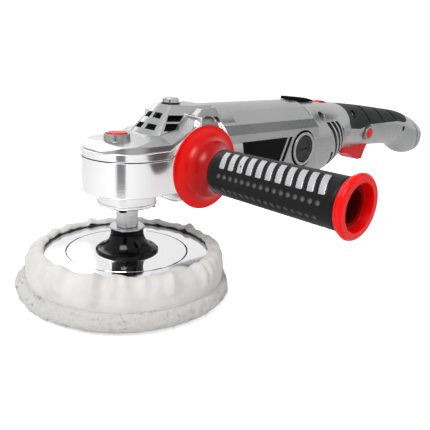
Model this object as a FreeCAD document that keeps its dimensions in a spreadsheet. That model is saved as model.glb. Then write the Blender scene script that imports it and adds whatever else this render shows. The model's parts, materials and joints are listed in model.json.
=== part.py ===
import FreeCAD, Part
import math
import os
import types

import Sketcher

# A rotary polisher: a motor in line with its handle drives a polishing pad at right angles.
# Frame: millimetres, origin at the middle of the bonnet's working face, +Z up along the
# spindle, +X towards the rear handle. The side handle points along -Y.

doc = FreeCAD.newDocument("rotary_polisher")
sheet = doc.addObject("Spreadsheet::Sheet", "Sizes")

# name, value, what it is
DRIVING = [
    ("bonnet_radius", 91.5, "widest ring of the fleece"),
    ("skirt_radius", 84.5, "fabric side of the bonnet"),
    ("lap_radius", 69.5, "inner edge of the fabric that laps over the plate"),
    ("lap_top", 40.4, "height of the lap"),
    ("fleece_depth", 9.6, "fleece under the foam"),
    ("plate_radius", 76.0, "backing plate"),
    ("plate_top", 36.0, "top face of the backing plate"),
    ("plate_thickness", 5.0, "backing plate"),
    ("groove_radius", 52.0, "ring groove in the plate"),
    ("hub_radius", 14.1, "neck of the plate's hub"),
    ("hub_foot", 27.0, "flared foot of the hub"),
    ("hub_top", 56.3, "top of the hub"),
    ("thread_radius", 7.0, "spindle thread"),
    ("spindle_radius", 9.3, "spindle collar"),
    ("gear_seat", 6.0, "spindle inside the crown gear"),
    ("journal_radius", 4.0, "upper end of the spindle"),
    ("retainer_radius", 25.0, "bearing retainer"),
    ("retainer_bottom", 77.4, "lower face of the bearing retainer"),
    ("case_bottom", 90.5, "floor of the gear case"),
    ("case_seam", 118.6, "joint between gear case and its cover"),
    ("case_radius", 37.0, "round front of the gear case"),
    ("case_wall", 3.6, "gear case wall"),
    ("barrel_radius", 41.5, "rear of the gear case"),
    ("barrel_front", 46.0, "where the rear of the gear case turns round"),
    ("bearing_wall_back", 58.0, "wall that holds the front armature bearing"),
    ("motor_height", 113.8, "axis of the motor"),
    ("motor_front", 76.4, "front of the motor housing"),
    ("motor_back", 205.9, "rear of the motor housing"),
    ("motor_bore", 38.0, "inside of the motor housing"),
    ("motor_side", 41.5, "flat side of the motor housing"),
    ("crown_radius", 26.0, "middle of the crown gear's teeth"),
    ("crown_teeth", 40, "teeth on the crown gear"),
    ("pinion_teeth", 10, "teeth on the pinion"),
    ("gear_width", 6.0, "length of the teeth"),
    ("addendum", 0.72, "height of a tooth over the pitch line"),
    ("shaft_radius", 4.0, "armature shaft"),
    ("core_radius", 23.2, "armature core"),
    ("stator_gap", 0.8, "air between armature and stator"),
    ("brush_x", 183.0, "brushes and their caps"),
    ("cap_radius", 12.8, "brush cap"),
    ("lock_x", -10.0, "spindle lock"),
    ("grip_x", 35.3, "axis of the side handle"),
    ("grip_height", 114.4, "height of the side handle"),
    ("boss_end", 43.5, "face of the side handle bosses"),
    ("stud_radius", 5.0, "thread of the side handle"),
    ("funnel_distance", 56.3, "rim of the side handle's funnel"),
    ("funnel_radius", 33.3, "rim of the funnel"),
    ("grip_core", 13.4, "handle core under its sleeve"),
    ("sleeve_radius", 17.2, "side handle sleeve"),
    ("sleeve_start", 76.2, "front end of the sleeve"),
    ("sleeve_end", 188.3, "rear end of the sleeve"),
    ("grip_bore", 11.4, "hollow end of the handle core"),
    ("grip_bore_depth", 26.0, "hollow end of the handle core"),
    ("grip_end", 195.2, "outer face of the side handle"),
    ("grip_end_radius", 21.3, "flared end of the side handle"),
    ("shell_wall", 2.8, "handle shells"),
    ("rubber_depth", 2.0, "rubber on the handle"),
    ("trigger_width", 18.0, "trigger"),
    ("pivot_x", 310.0, "trigger pivot"),
    ("pivot_height", 102.0, "trigger pivot"),
    ("lock_on_x", 335.0, "lock-on button"),
    ("lock_on_height", 116.3, "lock-on button"),
    ("lock_on_radius", 5.6, "lock-on button"),
    ("dial_x", 260.0, "speed dial"),
    ("dial_height", 138.2, "axis of the speed dial"),
    ("dial_radius", 16.3, "speed dial"),
    ("dial_width", 8.0, "speed dial"),
    ("inlet_radius", 4.6, "cable hole in the gland"),
    ("slip", 0.05, "radial gap of a running fit"),
]


class Size:
    """A number together with the formula that gives it from the sheet."""

    def __init__(self, value, text):
        self.value, self.text = value, text

    def join(self, other, sign, value):
        text = other.text if isinstance(other, Size) else repr(float(other))
        return Size(value, "(%s %s %s)" % (self.text, sign, text))

    def __add__(self, other):
        return self.join(other, "+", self.value + number(other))

    def __sub__(self, other):
        return self.join(other, "-", self.value - number(other))

    def __mul__(self, other):
        return self.join(other, "*", self.value * number(other))

    def __truediv__(self, other):
        return self.join(other, "/", self.value / number(other))

    def __neg__(self):
        return self * -1


def number(size):
    return size.value if isinstance(size, Size) else float(size)


def size(value):
    return value if isinstance(value, Size) else Size(float(value), repr(float(value)))


s = types.SimpleNamespace()
for row, (name, value, note) in enumerate(DRIVING, 1):
    sheet.set("A%d" % row, note)
    sheet.set("B%d" % row, str(value))
    sheet.setAlias("B%d" % row, name)
doc.recompute()
for name, value, note in DRIVING:
    setattr(s, name, Size(float(getattr(sheet, name)), "Sizes." + name))

nodes = []
UP = {"X": FreeCAD.Rotation(FreeCAD.Vector(0, 1, 0), 90),
      "Y": FreeCAD.Rotation(FreeCAD.Vector(1, 0, 0), -90),
      "Z": FreeCAD.Rotation()}


def vector(x, y, z):
    return FreeCAD.Vector(number(x), number(y), number(z))


def place(thing, at, rotation=FreeCAD.Rotation()):
    """Puts a thing at a point, and binds each coordinate that comes from the sheet."""
    thing.Placement = FreeCAD.Placement(vector(*at), rotation)
    for part, coordinate in zip("xyz", at):
        if isinstance(coordinate, Size):
            thing.setExpression("Placement.Base." + part, coordinate.text)
    return thing


def bind(thing, **sizes):
    for name, size in sizes.items():
        setattr(thing, name, number(size))
        if isinstance(size, Size):
            thing.setExpression(name, size.text)
    return thing


def node(thing, name):
    """Marks a finished sub-part: its label becomes its file's name."""
    thing.Label = name
    nodes.append(thing)
    return thing


def cylinder(name, axis, at, radius, length):
    rod = bind(doc.addObject("Part::Cylinder", name), Radius=radius, Height=length)
    return place(rod, at, UP[axis])


def cone(name, axis, at, first, second, length):
    rod = bind(doc.addObject("Part::Cone", name), Radius1=first, Radius2=second, Height=length)
    return place(rod, at, UP[axis])


def block(name, at, length, width, height):
    return place(bind(doc.addObject("Part::Box", name), Length=length, Width=width, Height=height), at)


def fuse(name, parts):
    joined = doc.addObject("Part::MultiFuse", name)
    joined.Shapes = parts
    return joined


def cut(name, base, tools):
    result = doc.addObject("Part::Cut", name)
    result.Base = base
    result.Tool = tools[0] if len(tools) == 1 else fuse(name + "_tools", tools)
    return result


def common(name, base, tool):
    result = doc.addObject("Part::Common", name)
    result.Base, result.Tool = base, tool
    return result


def group(name, parts):
    together = doc.addObject("Part::Compound", name)
    together.Links = parts
    return together


def tube(name, axis, at, outer, inner, length):
    return cut(name, cylinder(name + "_outside", axis, at, outer, length),
               [cylinder(name + "_bore", axis, at, inner, length)])


def hold_bend(sketch, edge, start, end):
    """Fixes an arc by its radius, or a half circle by its centre on the upright axis."""
    across, up = size(end[0]) - start[0], size(end[1]) - start[1]
    rise = abs(number(start[2]))
    radius = (across * across + up * up) / (8 * rise) + rise / 2
    if abs(radius.value - rise) < 1e-6:
        sketch.addConstraint(Sketcher.Constraint("PointOnObject", edge, 3, -2))
        return
    at = sketch.addConstraint(Sketcher.Constraint("Radius", edge, radius.value))
    sketch.setExpression("Constraints[%d]" % at, radius.text)


def draw(body, role, outline):
    """A closed sketch on one of the body's own planes. Each corner is (across, up) or
    (across, up, rise), where rise bends the edge that starts there to its left."""
    sketch = body.newObject("Sketcher::SketchObject", body.Name + "_sketch")
    plane = [p for p in body.Origin.OriginFeatures if p.Role == role][0]
    sketch.AttachmentSupport = [(plane, "")]
    sketch.MapMode = "FlatFace"
    corners = [vector(c[0], c[1], 0) for c in outline]
    ends = []
    for i, corner in enumerate(outline):
        start, end = corners[i], corners[(i + 1) % len(corners)]
        if len(corner) == 3:
            along = (end - start).normalize()
            middle = (start + end) * 0.5 + FreeCAD.Vector(-along.y, along.x, 0) * number(corner[2])
            edge = Part.Arc(start, middle, end)
            clockwise = number(corner[2]) > 0
            ends.append((2, 1) if clockwise else (1, 2))
        else:
            edge = Part.LineSegment(start, end)
            ends.append((1, 2))
        sketch.addGeometry(edge, False)
    for i, corner in enumerate(outline):
        after = (i + 1) % len(outline)
        sketch.addConstraint(Sketcher.Constraint("Coincident", i, ends[i][1], after, ends[after][0]))
        if len(corner) == 3:
            hold_bend(sketch, i, corner, outline[after])
    for i, corner in enumerate(outline):
        for kind, size, axis in (("DistanceX", corner[0], -2), ("DistanceY", corner[1], -1)):
            if abs(number(size)) < 1e-9:
                sketch.addConstraint(Sketcher.Constraint("PointOnObject", i, ends[i][0], axis))
                continue
            at = sketch.addConstraint(Sketcher.Constraint(kind, -1, 1, i, ends[i][0], number(size)))
            if isinstance(size, Size):
                sketch.setExpression("Constraints[%d]" % at, size.text)
    return sketch


def turned(name, axis, outline, at=(0, 0, 0)):
    """A body turned about Z from (radius, height) corners, or about X or Y from
    (distance, radius) corners."""
    body = doc.addObject("PartDesign::Body", name)
    sketch = draw(body, "YZ_Plane" if axis == "Y" else "XZ_Plane", outline)
    turn = body.newObject("PartDesign::Revolution", name + "_turn")
    turn.Profile = sketch
    turn.ReferenceAxis = (sketch, ["V_Axis" if axis == "Z" else "H_Axis"])
    turn.Angle = 360.0
    return place(body, at)


def padded(name, role, outline, length, at=(0, 0, 0), middle=False):
    """A body padded from an outline on the named plane, along +Z, +X or -Y."""
    body = doc.addObject("PartDesign::Body", name)
    pad = body.newObject("PartDesign::Pad", name + "_pad")
    pad.Profile = draw(body, role, outline)
    bind(pad, Length=length)
    if middle:
        pad.SideType = "Symmetric"
    return place(body, at)


def around(name, body, feature, count):
    """Repeats a feature of a body around the body's own turning axis."""
    pattern = body.newObject("PartDesign::PolarPattern", name + "_around")
    pattern.Originals = [feature]
    axis = "X_Axis" if name.startswith(("pinion", "cooling")) else "Z_Axis"
    line = [p for p in body.Origin.OriginFeatures if p.Role == axis][0]
    pattern.Axis = (line, [""])
    pattern.Angle = 360.0
    pattern.Occurrences = int(number(count))
    if isinstance(count, Size):
        pattern.setExpression("Occurrences", count.text)
    body.Tip = pattern
    return body


def shaped(name, shape):
    """A sub-part whose shape comes from Part's own functions."""
    thing = doc.addObject("Part::Feature", name)
    thing.Shape = shape
    return thing


motor_axis = (0, 0, s.motor_height)
grip_axis = (s.grip_x, 0, s.grip_height)

# ---- polishing head: everything that turns with the spindle ----

inside = s.plate_radius + 0.8
under = s.fleece_depth
bonnet = turned("bonnet", "Z", [
    (0, 0), (s.bonnet_radius - 13, 0, -1.6), (s.bonnet_radius, 8.5, -2.6),
    (s.skirt_radius + 1.5, 18), (s.skirt_radius, 25, -2.4), (s.plate_radius, s.lap_top - 0.6, -0.6),
    (s.lap_radius, s.lap_top - 1.2), (s.lap_radius, s.plate_top + 0.4),
    (inside, s.plate_top + 0.4), (inside, under), (0, under)])
node(bonnet, "bonnet")

foam_top = s.plate_top - s.plate_thickness
foam = turned("foam_pad", "Z", [
    (0, under + 0.1), (s.plate_radius - 4, under + 0.1), (s.plate_radius, under + 5),
    (s.plate_radius, foam_top - 0.05), (0, foam_top - 0.05)])
node(foam, "foam_pad")

plate = turned("backing_plate", "Z", [
    (0, foam_top), (s.plate_radius - 1, foam_top), (s.plate_radius, foam_top + 1),
    (s.plate_radius, s.plate_top - 1.5, -0.4), (s.plate_radius - 1.5, s.plate_top),
    (s.groove_radius + 0.7, s.plate_top), (s.groove_radius, s.plate_top - 0.8),
    (s.groove_radius - 0.7, s.plate_top), (s.hub_foot + 1, s.plate_top), (0, s.plate_top)])
node(plate, "backing_plate")

bore = s.thread_radius + 0.04
hub = turned("plate_hub", "Z", [
    (bore, s.plate_top + 0.02), (s.hub_foot, s.plate_top + 0.02), (s.hub_foot, s.plate_top + 1),
    (s.hub_foot - 1.5, s.plate_top + 2.2, 3.4), (s.hub_radius, s.hub_top - 3),
    (s.hub_radius, s.hub_top - 0.6), (s.hub_radius - 0.6, s.hub_top), (bore, s.hub_top)])
node(hub, "plate_hub")

washer_top = s.hub_top + 1.3
node(tube("lip_washer", "Z", (0, 0, s.hub_top + 0.02), s.hub_radius + 0.6, bore, 1.26), "lip_washer")

seat_bottom = s.retainer_bottom + 2.4
shaft = turned("spindle_blank", "Z", [
    (0, s.plate_top + 0.1), (s.thread_radius - 1, s.plate_top + 0.1), (s.thread_radius, s.plate_top + 1.1),
    (s.thread_radius, washer_top), (s.spindle_radius - 0.5, washer_top),
    (s.spindle_radius, washer_top + 0.5), (s.spindle_radius, seat_bottom), (7.5, seat_bottom),
    (7.5, 94.5), (s.gear_seat, 94.5), (s.gear_seat, 109), (s.journal_radius, 110),
    (s.journal_radius, 120.5), (s.journal_radius - 0.8, 121.3), (0, 121.3)])
flats = [block("spindle_flat_%d" % side, (-12, 8.3 * side - (3 if side < 0 else 0), washer_top + 3),
               24, 3, 7) for side in (-1, 1)]
node(cut("spindle", shaft, flats), "spindle")

pitch_height = s.motor_height - s.crown_radius * s.pinion_teeth / s.crown_teeth
crown_top = pitch_height + s.addendum
crown_root = pitch_height - s.addendum - 0.22
tooth_inner = s.crown_radius - s.gear_width / 2 - 0.2
tooth_length = s.gear_width + 0.4
crown = turned("crown_gear_blank", "Z", [
    (s.gear_seat + 0.01, 95), (11, 95), (11, 100), (tooth_inner + tooth_length - 0.8, 100),
    (tooth_inner + tooth_length, 101), (tooth_inner + tooth_length, crown_root),
    (tooth_inner, crown_root), (tooth_inner - 1.6, 104), (s.gear_seat + 0.01, 104)])
doc.recompute()
teeth = crown.newObject("PartDesign::Pad", "crown_teeth_pad")
tooth = draw(crown, "YZ_Plane", [
    (-0.78, crown_root - 0.5), (0.78, crown_root - 0.5), (0.78, pitch_height),
    (0.45, crown_top), (-0.45, crown_top), (-0.78, pitch_height)])
tooth.AttachmentOffset = FreeCAD.Placement(
    FreeCAD.Vector(0, 0, number(tooth_inner) + 0.1), FreeCAD.Rotation())
teeth.Profile = tooth
bind(teeth, Length=tooth_length - 0.2)
around("crown", crown, teeth, s.crown_teeth)
lock_holes = [cylinder("lock_hole_%d" % i, "Z", (10 * math.cos(i * math.pi / 2),
                                                 10 * math.sin(i * math.pi / 2), 99), 2.8, 7)
              for i in range(4)]
node(cut("crown_gear", crown, lock_holes), "crown_gear")

ball_height = s.retainer_bottom + 8.1
bearing_low, bearing_high = s.retainer_bottom + 2.6, s.retainer_bottom + 13.6
node(tube("lower_bearing_inner", "Z", (0, 0, bearing_low), 10.2, 7.52, 11), "lower_bearing_inner")
balls = []
for i in range(8):
    turn = i * math.pi / 4
    ball = doc.addObject("Part::Sphere", "bearing_ball_%d" % i)
    ball.Radius = 2.3
    balls.append(place(ball, (12.52 * math.cos(turn), 12.52 * math.sin(turn), ball_height)))
node(group("lower_bearing_balls", balls), "lower_bearing_balls")
node(tube("lower_bearing_outer", "Z", (0, 0, bearing_low), 17.5, 14.85, 11), "lower_bearing_outer")

# ---- gear head ----

retainer = turned("bearing_retainer_ring", "Z", [
    (s.spindle_radius + 0.7, s.retainer_bottom), (s.retainer_radius - 1, s.retainer_bottom),
    (s.retainer_radius, s.retainer_bottom + 1), (s.retainer_radius, s.retainer_bottom + 2.8),
    (s.retainer_radius - 0.7, s.retainer_bottom + 3), (s.retainer_radius - 0.7, s.case_bottom - 0.02),
    (17.55, s.case_bottom - 0.02), (17.55, s.retainer_bottom + 2.5),
    (s.spindle_radius + 0.7, s.retainer_bottom + 2.5)])
screw_turns = [math.pi / 4 + i * math.pi / 2 for i in range(4)]
screw_spots = [(20.9 * math.cos(a), 20.9 * math.sin(a)) for a in screw_turns]
node(cut("bearing_retainer", retainer,
         [cylinder("retainer_hole_%d" % i, "Z", (x, y, s.retainer_bottom - 1), 1.72, 16)
          for i, (x, y) in enumerate(screw_spots)]), "bearing_retainer")
node(group("retainer_screws", [
    fuse("retainer_screw_%d" % i, [
        cylinder("retainer_shank_%d" % i, "Z", (x, y, s.retainer_bottom), 1.7, 16.5),
        cylinder("retainer_head_%d" % i, "Z", (x, y, s.retainer_bottom - 1.8), 3.1, 1.8)])
    for i, (x, y) in enumerate(screw_spots)]), "retainer_screws")


def d_outline(radius, back):
    """Plan of the gear case: a half circle in front, straight sides to the back."""
    return [(0, radius, -radius), (0, -radius), (back, -radius), (back, radius)]


seam_rise, cover_height = 20.6, 6.0
front_block = padded("case_front", "XY_Plane", d_outline(s.case_radius, s.barrel_front + 2), 60,
                     (0, 0, s.case_bottom))
flare = cone("case_flare", "X", (14, 0, s.motor_height), 26, s.barrel_radius, s.barrel_front - 14)
barrel = cylinder("case_barrel", "X", (s.barrel_front, 0, s.motor_height), s.barrel_radius,
                  s.motor_front - s.barrel_front - 0.3)
bosses = cylinder("case_bosses", "Y", (s.grip_x, -s.boss_end, s.grip_height), 12.5, s.boss_end * 2)
case_solid = fuse("case_solid", [front_block, flare, barrel, bosses])
lower_region = padded("case_lower_region", "XZ_Plane", [
    (-60, 60), (90, 60), (90, 170), (s.barrel_front, 170), (s.barrel_front, s.case_seam + seam_rise),
    (16, s.case_seam), (-60, s.case_seam)], 120, (0, 0, 0), True)
cover_region = padded("case_cover_region", "XZ_Plane", [
    (-60, s.case_seam + 0.7), (16, s.case_seam + 0.7), (s.barrel_front, s.case_seam + seam_rise + 0.7),
    (s.barrel_front, s.case_seam + seam_rise + cover_height),
    (16, s.case_seam + cover_height + 1.4), (-60, s.case_seam + cover_height)], 120, (0, 0, 0), True)
gasket_region = padded("case_gasket_region", "XZ_Plane", [
    (-60, s.case_seam), (16, s.case_seam), (s.barrel_front, s.case_seam + seam_rise),
    (s.barrel_front, s.case_seam + seam_rise + 0.7), (16, s.case_seam + 0.7),
    (-60, s.case_seam + 0.7)], 120, (0, 0, 0), True)

cavity_front = padded("case_cavity", "XY_Plane", d_outline(s.case_radius - s.case_wall, s.barrel_front - 2),
                      50, (0, 0, s.case_bottom + 4))
cavity_back = cylinder("fan_cavity", "X", (s.bearing_wall_back, 0, s.motor_height), s.motor_bore, 40)
front_seat = cylinder("front_bearing_seat", "X", (20, 0, s.motor_height), 13.02, 60)
spindle_way = cylinder("spindle_way", "Z", (0, 0, 80), 17.6, 30)
handle_threads = cylinder("handle_threads", "Y", (s.grip_x, -60, s.grip_height), s.stud_radius + 0.02, 120)
screw_ways = [cylinder("case_screw_way_%d" % i, "Z", (x, y, 85), 1.72, 9.4)
              for i, (x, y) in enumerate(screw_spots)]
case_cast = common("case_cast", case_solid, lower_region)

# ---- hood over the gear case ----

HOOD_EDGE = [(75.8, 149), (60, 150), (46, 145.4), (16, 126.2), (-33.4, 124.7)]
HOOD_TOP = [(-33.4, 158.4), (31, 158.4), (59.3, 157.2), (75.8, 157.6)]
HOOD_SCREW = (50.5, 146)    # x and height of the screws in the hood's sides
DECK = [    # x, height at the rim, half width and height of the flat deck, height on the middle line
    (-34, 125.2, 30, 125.4, 125.6), (-23, 126, 32, 129.6, 131), (-8, 126.6, 31, 131.6, 133),
    (17.4, 127.6, 22, 135.4, 136), (32, 138, 23.5, 140, 141.5), (46, 147, 26, 148.5, 149.5),
    (60, 151.5, 24, 155, 157.2), (80, 154, 24, 156, 158)]
CROWN = [(120, 4.6, -3.6, 26.6, 46), (160, 38.2, 35.4, 9.8, 17)]    # height, ridge x, middle x, half widths


def extruded(points, direction):
    wire = Part.makePolygon([FreeCAD.Vector(*p) for p in points + points[:1]])
    return Part.Face(wire).extrude(FreeCAD.Vector(*direction))


def deck_form(inset):
    sections = []
    for x, rim, half, edge, middle in DECK:
        right = [(45, 100), (45, rim - inset), (half - inset, edge - inset)]
        left = [(-y, z) for y, z in reversed(right)]
        points = [FreeCAD.Vector(x, y, z) for y, z in right + [(0, middle - inset)] + left]
        sections.append(Part.makePolygon(points + points[:1]))
    return Part.makeLoft(sections, True, True)


def crown_form(inset):
    """The raised middle: a bowed slope at the front and flat sides that spread to the motor."""
    levels = []
    for height, ridge, middle, front, back in CROWN:
        corners = [FreeCAD.Vector(*p, height) for p in (
            (ridge + 1.2 * inset, front - inset), (80, back - inset), (80, inset - back),
            (ridge + 1.2 * inset, inset - front))]
        arc = Part.Arc(corners[3], FreeCAD.Vector(middle + 1.4 * inset, 0, height), corners[0])
        sides = [Part.LineSegment(a, b) for a, b in zip(corners, corners[1:])]
        levels.append(Part.Wire([edge.toShape() for edge in [arc] + sides]))
    return Part.makeLoft(levels, True, True)


def hood_form(inset, drop):
    """The hood's outer form, or with an inset, the hollow under it."""
    side = [(x, z - inset) for x, z in HOOD_TOP] + [(x, z - drop) for x, z in HOOD_EDGE]
    seen_from_side = extruded([(x, -60, z) for x, z in side], (0, 120, 0))
    half = [(44.5, 110), (43.8, 132), (36.5, 143), (22, 156.5), (15, 160)]
    front = [(y - inset, z - inset) for y, z in half]
    front += [(-y, z) for y, z in reversed(front)]
    seen_from_front = extruded([(-60, y, z) for y, z in front], (160, 0, 0))
    nose = 35.2 - inset
    arc = Part.Arc(FreeCAD.Vector(0, nose, 100), FreeCAD.Vector(-nose, 0, 100), FreeCAD.Vector(0, -nose, 100))
    back = [(0, -nose), (30, -37 + inset), (52, -43 + inset), (80, -43.8 + inset),
            (80, 43.8 - inset), (52, 43 - inset), (30, 37 - inset), (0, nose)]
    sides = [Part.LineSegment(FreeCAD.Vector(*a, 100), FreeCAD.Vector(*b, 100)) for a, b in zip(back, back[1:])]
    plan = Part.Wire([edge.toShape() for edge in [arc] + sides])
    seen_from_top = Part.Face(plan).extrude(FreeCAD.Vector(0, 0, 70))
    both = deck_form(inset).fuse(crown_form(inset))
    return both.common(seen_from_side).common(seen_from_front).common(seen_from_top)


def pane(corners, direction):
    """A window's tool: its four corners, flattened across the direction, pushed through the wall along it."""
    way = FreeCAD.Vector(*direction).normalize()
    points = [FreeCAD.Vector(*p) for p in corners]
    start = min(p.dot(way) for p in points) - 7
    return extruded([tuple(p + way * (start - p.dot(way))) for p in points], tuple(way * 20))


lock_x = number(s.lock_x)
hood_wall = 2.4
hood_shape = hood_form(0, 0)
hood_shape = hood_shape.fuse(Part.makeCylinder(10.5, 12, FreeCAD.Vector(lock_x, 0, 125)))
hood_shape = hood_shape.cut(hood_form(hood_wall, 6))
hood_shape = hood_shape.cut(Part.makeCylinder(8.9, 20, FreeCAD.Vector(lock_x, 0, 120)))
FRONT_PANES = [
    [(23.9, 1.6, 147.4), (28.2, 1.5, 151.4), (29.4, 9.4, 151.3), (25.4, 10.2, 147.2)],
    [(15.0, 2.6, 139.3), (19.1, 2.4, 143.4), (20.9, 11.8, 143.2), (17.1, 13.0, 139.1)]]
SIDE_PANES = [
    [(31.2, 15, 150.7), (45.5, 18, 150.3), (40.2, 19, 145.3), (27.7, 16.3, 145.6)],
    [(26.9, 17, 144.3), (38.3, 19.6, 143.9), (32.8, 21.8, 138.4), (22.6, 19.4, 138.7)]]
for side in (-1, 1):
    for panes, way in ((FRONT_PANES, (-1, 0, 1)), (SIDE_PANES, (0, 16, 7))):
        for corners in panes:
            hood_shape = hood_shape.cut(pane([(x, y * side, z) for x, y, z in corners],
                                             (way[0], way[1] * side, way[2])))
plug_x = 45.2
hood_shape = hood_shape.cut(Part.makeCylinder(3.1, 20, FreeCAD.Vector(plug_x, 0, 145)))
for side in (-1, 1):
    x, z = HOOD_SCREW
    boss = Part.makeCylinder(4.9, 8, FreeCAD.Vector(x, 17 * side, z), FreeCAD.Vector(0, side, 0))
    way = Part.makeCylinder(2.1, 20, FreeCAD.Vector(x, 12 * side, z), FreeCAD.Vector(0, side, 0))
    room = Part.makeCylinder(4.1, 20, FreeCAD.Vector(x, 25 * side, z), FreeCAD.Vector(0, side, 0))
    hood_shape = hood_shape.cut(room)
    hood_shape = hood_shape.fuse(boss).cut(way)
hood_shape = hood_shape.removeSplitter()
node(shaped("hood", hood_shape), "hood")

hood_tool = shaped("hood_tool", hood_shape)
hood_screw_way = cylinder("hood_screw_way", "Y", (HOOD_SCREW[0], -30, HOOD_SCREW[1]), 4, 60)
retainer_room = cylinder("retainer_room", "Z", (0, 0, 60), s.retainer_radius + 0.5, s.case_bottom - 60)
gear_case = cut("gear_case", case_cast, [cavity_front, retainer_room, cavity_back, front_seat, spindle_way,
                                         handle_threads, hood_tool, hood_screw_way] + screw_ways)
node(gear_case, "gear_case")
node(cut("case_gasket", common("gasket_solid", front_block, gasket_region), [cavity_front]), "case_gasket")

cover_solid = common("cover_solid", front_block, cover_region)
upper_boss = cylinder("upper_bush_boss", "Z", (0, 0, 110.5), 7.6, 12)
pin_way = cylinder("lock_pin_way", "Z", (s.lock_x, 0, 100), 2.36, 40)
bush_way = cylinder("bush_way", "Z", (0, 0, 100), 6.02, 22)
cover_block = fuse("cover_block", [cover_solid, upper_boss])
node(cut("case_cover", cover_block, [pin_way, bush_way, shaped("hood_tool_2", hood_shape)]), "case_cover")
node(tube("upper_bush", "Z", (0, 0, 110.6), 6, s.journal_radius + s.slip, 10), "upper_bush")

button_top = 137.9
lock_button = turned("spindle_lock_button", "Z", [
    (0, button_top - 7), (8.2, button_top - 7), (8.2, button_top - 1, -0.3), (7.4, button_top),
    (0, button_top)], (s.lock_x, 0, 0))
node(lock_button, "spindle_lock_button")
node(cylinder("spindle_lock_pin", "Z", (s.lock_x, 0, 105.2), 2.3, button_top - 7.02 - 105.2),
     "spindle_lock_pin")


def coils(name, centre, axis, ring, wire, count, pitch):
    """A compression spring as its separate turns."""
    turns = []
    for i in range(count):
        coil = bind(doc.addObject("Part::Torus", "%s_%d" % (name, i)), Radius1=ring, Radius2=wire)
        step = [pitch * i if letter == axis else 0 for letter in "XYZ"]
        turns.append(place(coil, [c + d for c, d in zip(centre, step)], UP[axis]))
    return turns


node(group("spindle_lock_spring", coils("lock_coil", (lock_x, 0, 126.6), "Z", 3.4, 0.4, 4, 1.15)),
     "spindle_lock_spring")

plug_height = 157.9
plug = turned("top_plug_turn", "Z", [
    (0, plug_height - 2.4), (3, plug_height - 2.4), (3, plug_height + 1.2), (6.9, plug_height + 1.2),
    (6.9, plug_height + 4.6), (6.1, plug_height + 5.4), (0, plug_height + 5.4)], (plug_x, 0, 0))
node(cut("top_plug", plug, [block("plug_slot", (plug_x - 8, -0.8, plug_height + 4.2), 16, 1.6, 3)]), "top_plug")
node(tube("plug_washer", "Z", (plug_x, 0, plug_height + 0.35), 8.3, 3.1, 0.8), "plug_washer")
hood_screws = []
for side in (-1, 1):
    head_y = 25.1 if side > 0 else -25.1 - 2.2
    hood_screws.append(fuse("hood_screw_%d" % side, [
        cylinder("hood_screw_head_%d" % side, "Y", (HOOD_SCREW[0], head_y, HOOD_SCREW[1]), 3.7, 2.2),
        cylinder("hood_screw_shank_%d" % side, "Y", (
            HOOD_SCREW[0], 17 if side > 0 else -25.2, HOOD_SCREW[1]), 2, 8.2)]))
node(group("hood_screws", hood_screws), "hood_screws")

# ---- motor ----

side, shoulder = s.motor_side, s.motor_side * 0.48
half_section = [(side, shoulder), (side, -shoulder, 22.4), (-side, -shoulder), (-side, shoulder),
                (-34.5, 27.6), (-20, 38, 5.4), (20, 38), (34.5, 27.6)]
section = [half_section[i] for i in (1, 2, 3, 4, 5, 6, 7, 0)]
motor_length = s.motor_back - s.motor_front
# the outline runs clockwise, so its two bends rise to the right
body_section = [(c[0], c[1]) + ((c[2],) if len(c) == 3 else ()) for c in section]
housing = padded("motor_tube", "YZ_Plane", body_section, motor_length,
                 (s.motor_front, 0, s.motor_height))
collar = cylinder("motor_collar", "X", (s.motor_front, 0, s.motor_height), 43.4, 17.6)
motor_space = cylinder("motor_space", "X", (60, 0, s.motor_height), s.motor_bore, 136)
rear_seat = cylinder("rear_bearing_seat", "X", (190, 0, s.motor_height), 11.02, 9)
shaft_exit = cylinder("shaft_exit", "X", (190, 0, s.motor_height), 6, 30)
brush_way = cylinder("brush_way", "Y", (s.brush_x, -60, s.motor_height), s.cap_radius + 0.15, 120)
air_ways = [cylinder("air_way_%d" % i, "X", (190, 26 * math.cos(i * math.pi / 3 + 0.5),
                                            s.motor_height + 26 * math.sin(i * math.pi / 3 + 0.5)), 7, 30)
            for i in range(6)]
node(cut("motor_housing", fuse("motor_body", [housing, collar]),
         [motor_space, rear_seat, shaft_exit, brush_way] + air_ways), "motor_housing")

core_front, core_back = 106, 156
stator_bore = s.core_radius + s.stator_gap
stator = tube("stator_ring", "X", (core_front, 0, s.motor_height), s.motor_bore - 0.1, stator_bore,
              core_back - core_front)
slots = [block("stator_slot_%d" % (i + 1), (core_front - 1, -17, s.motor_height + (24 if i > 0 else -34)),
               60, 34, 10) for i in (-1, 1)]
node(cut("stator_core", stator, slots), "stator_core")
coil_parts = []
for i in (-1, 1):
    low = s.motor_height + (24.6 if i > 0 else -33.4)
    coil_parts.append(block("field_coil_%d" % (i + 1), (core_front - 6, -16, low), 62, 32, 8.8))
node(group("field_coils", coil_parts), "field_coils")

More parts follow.
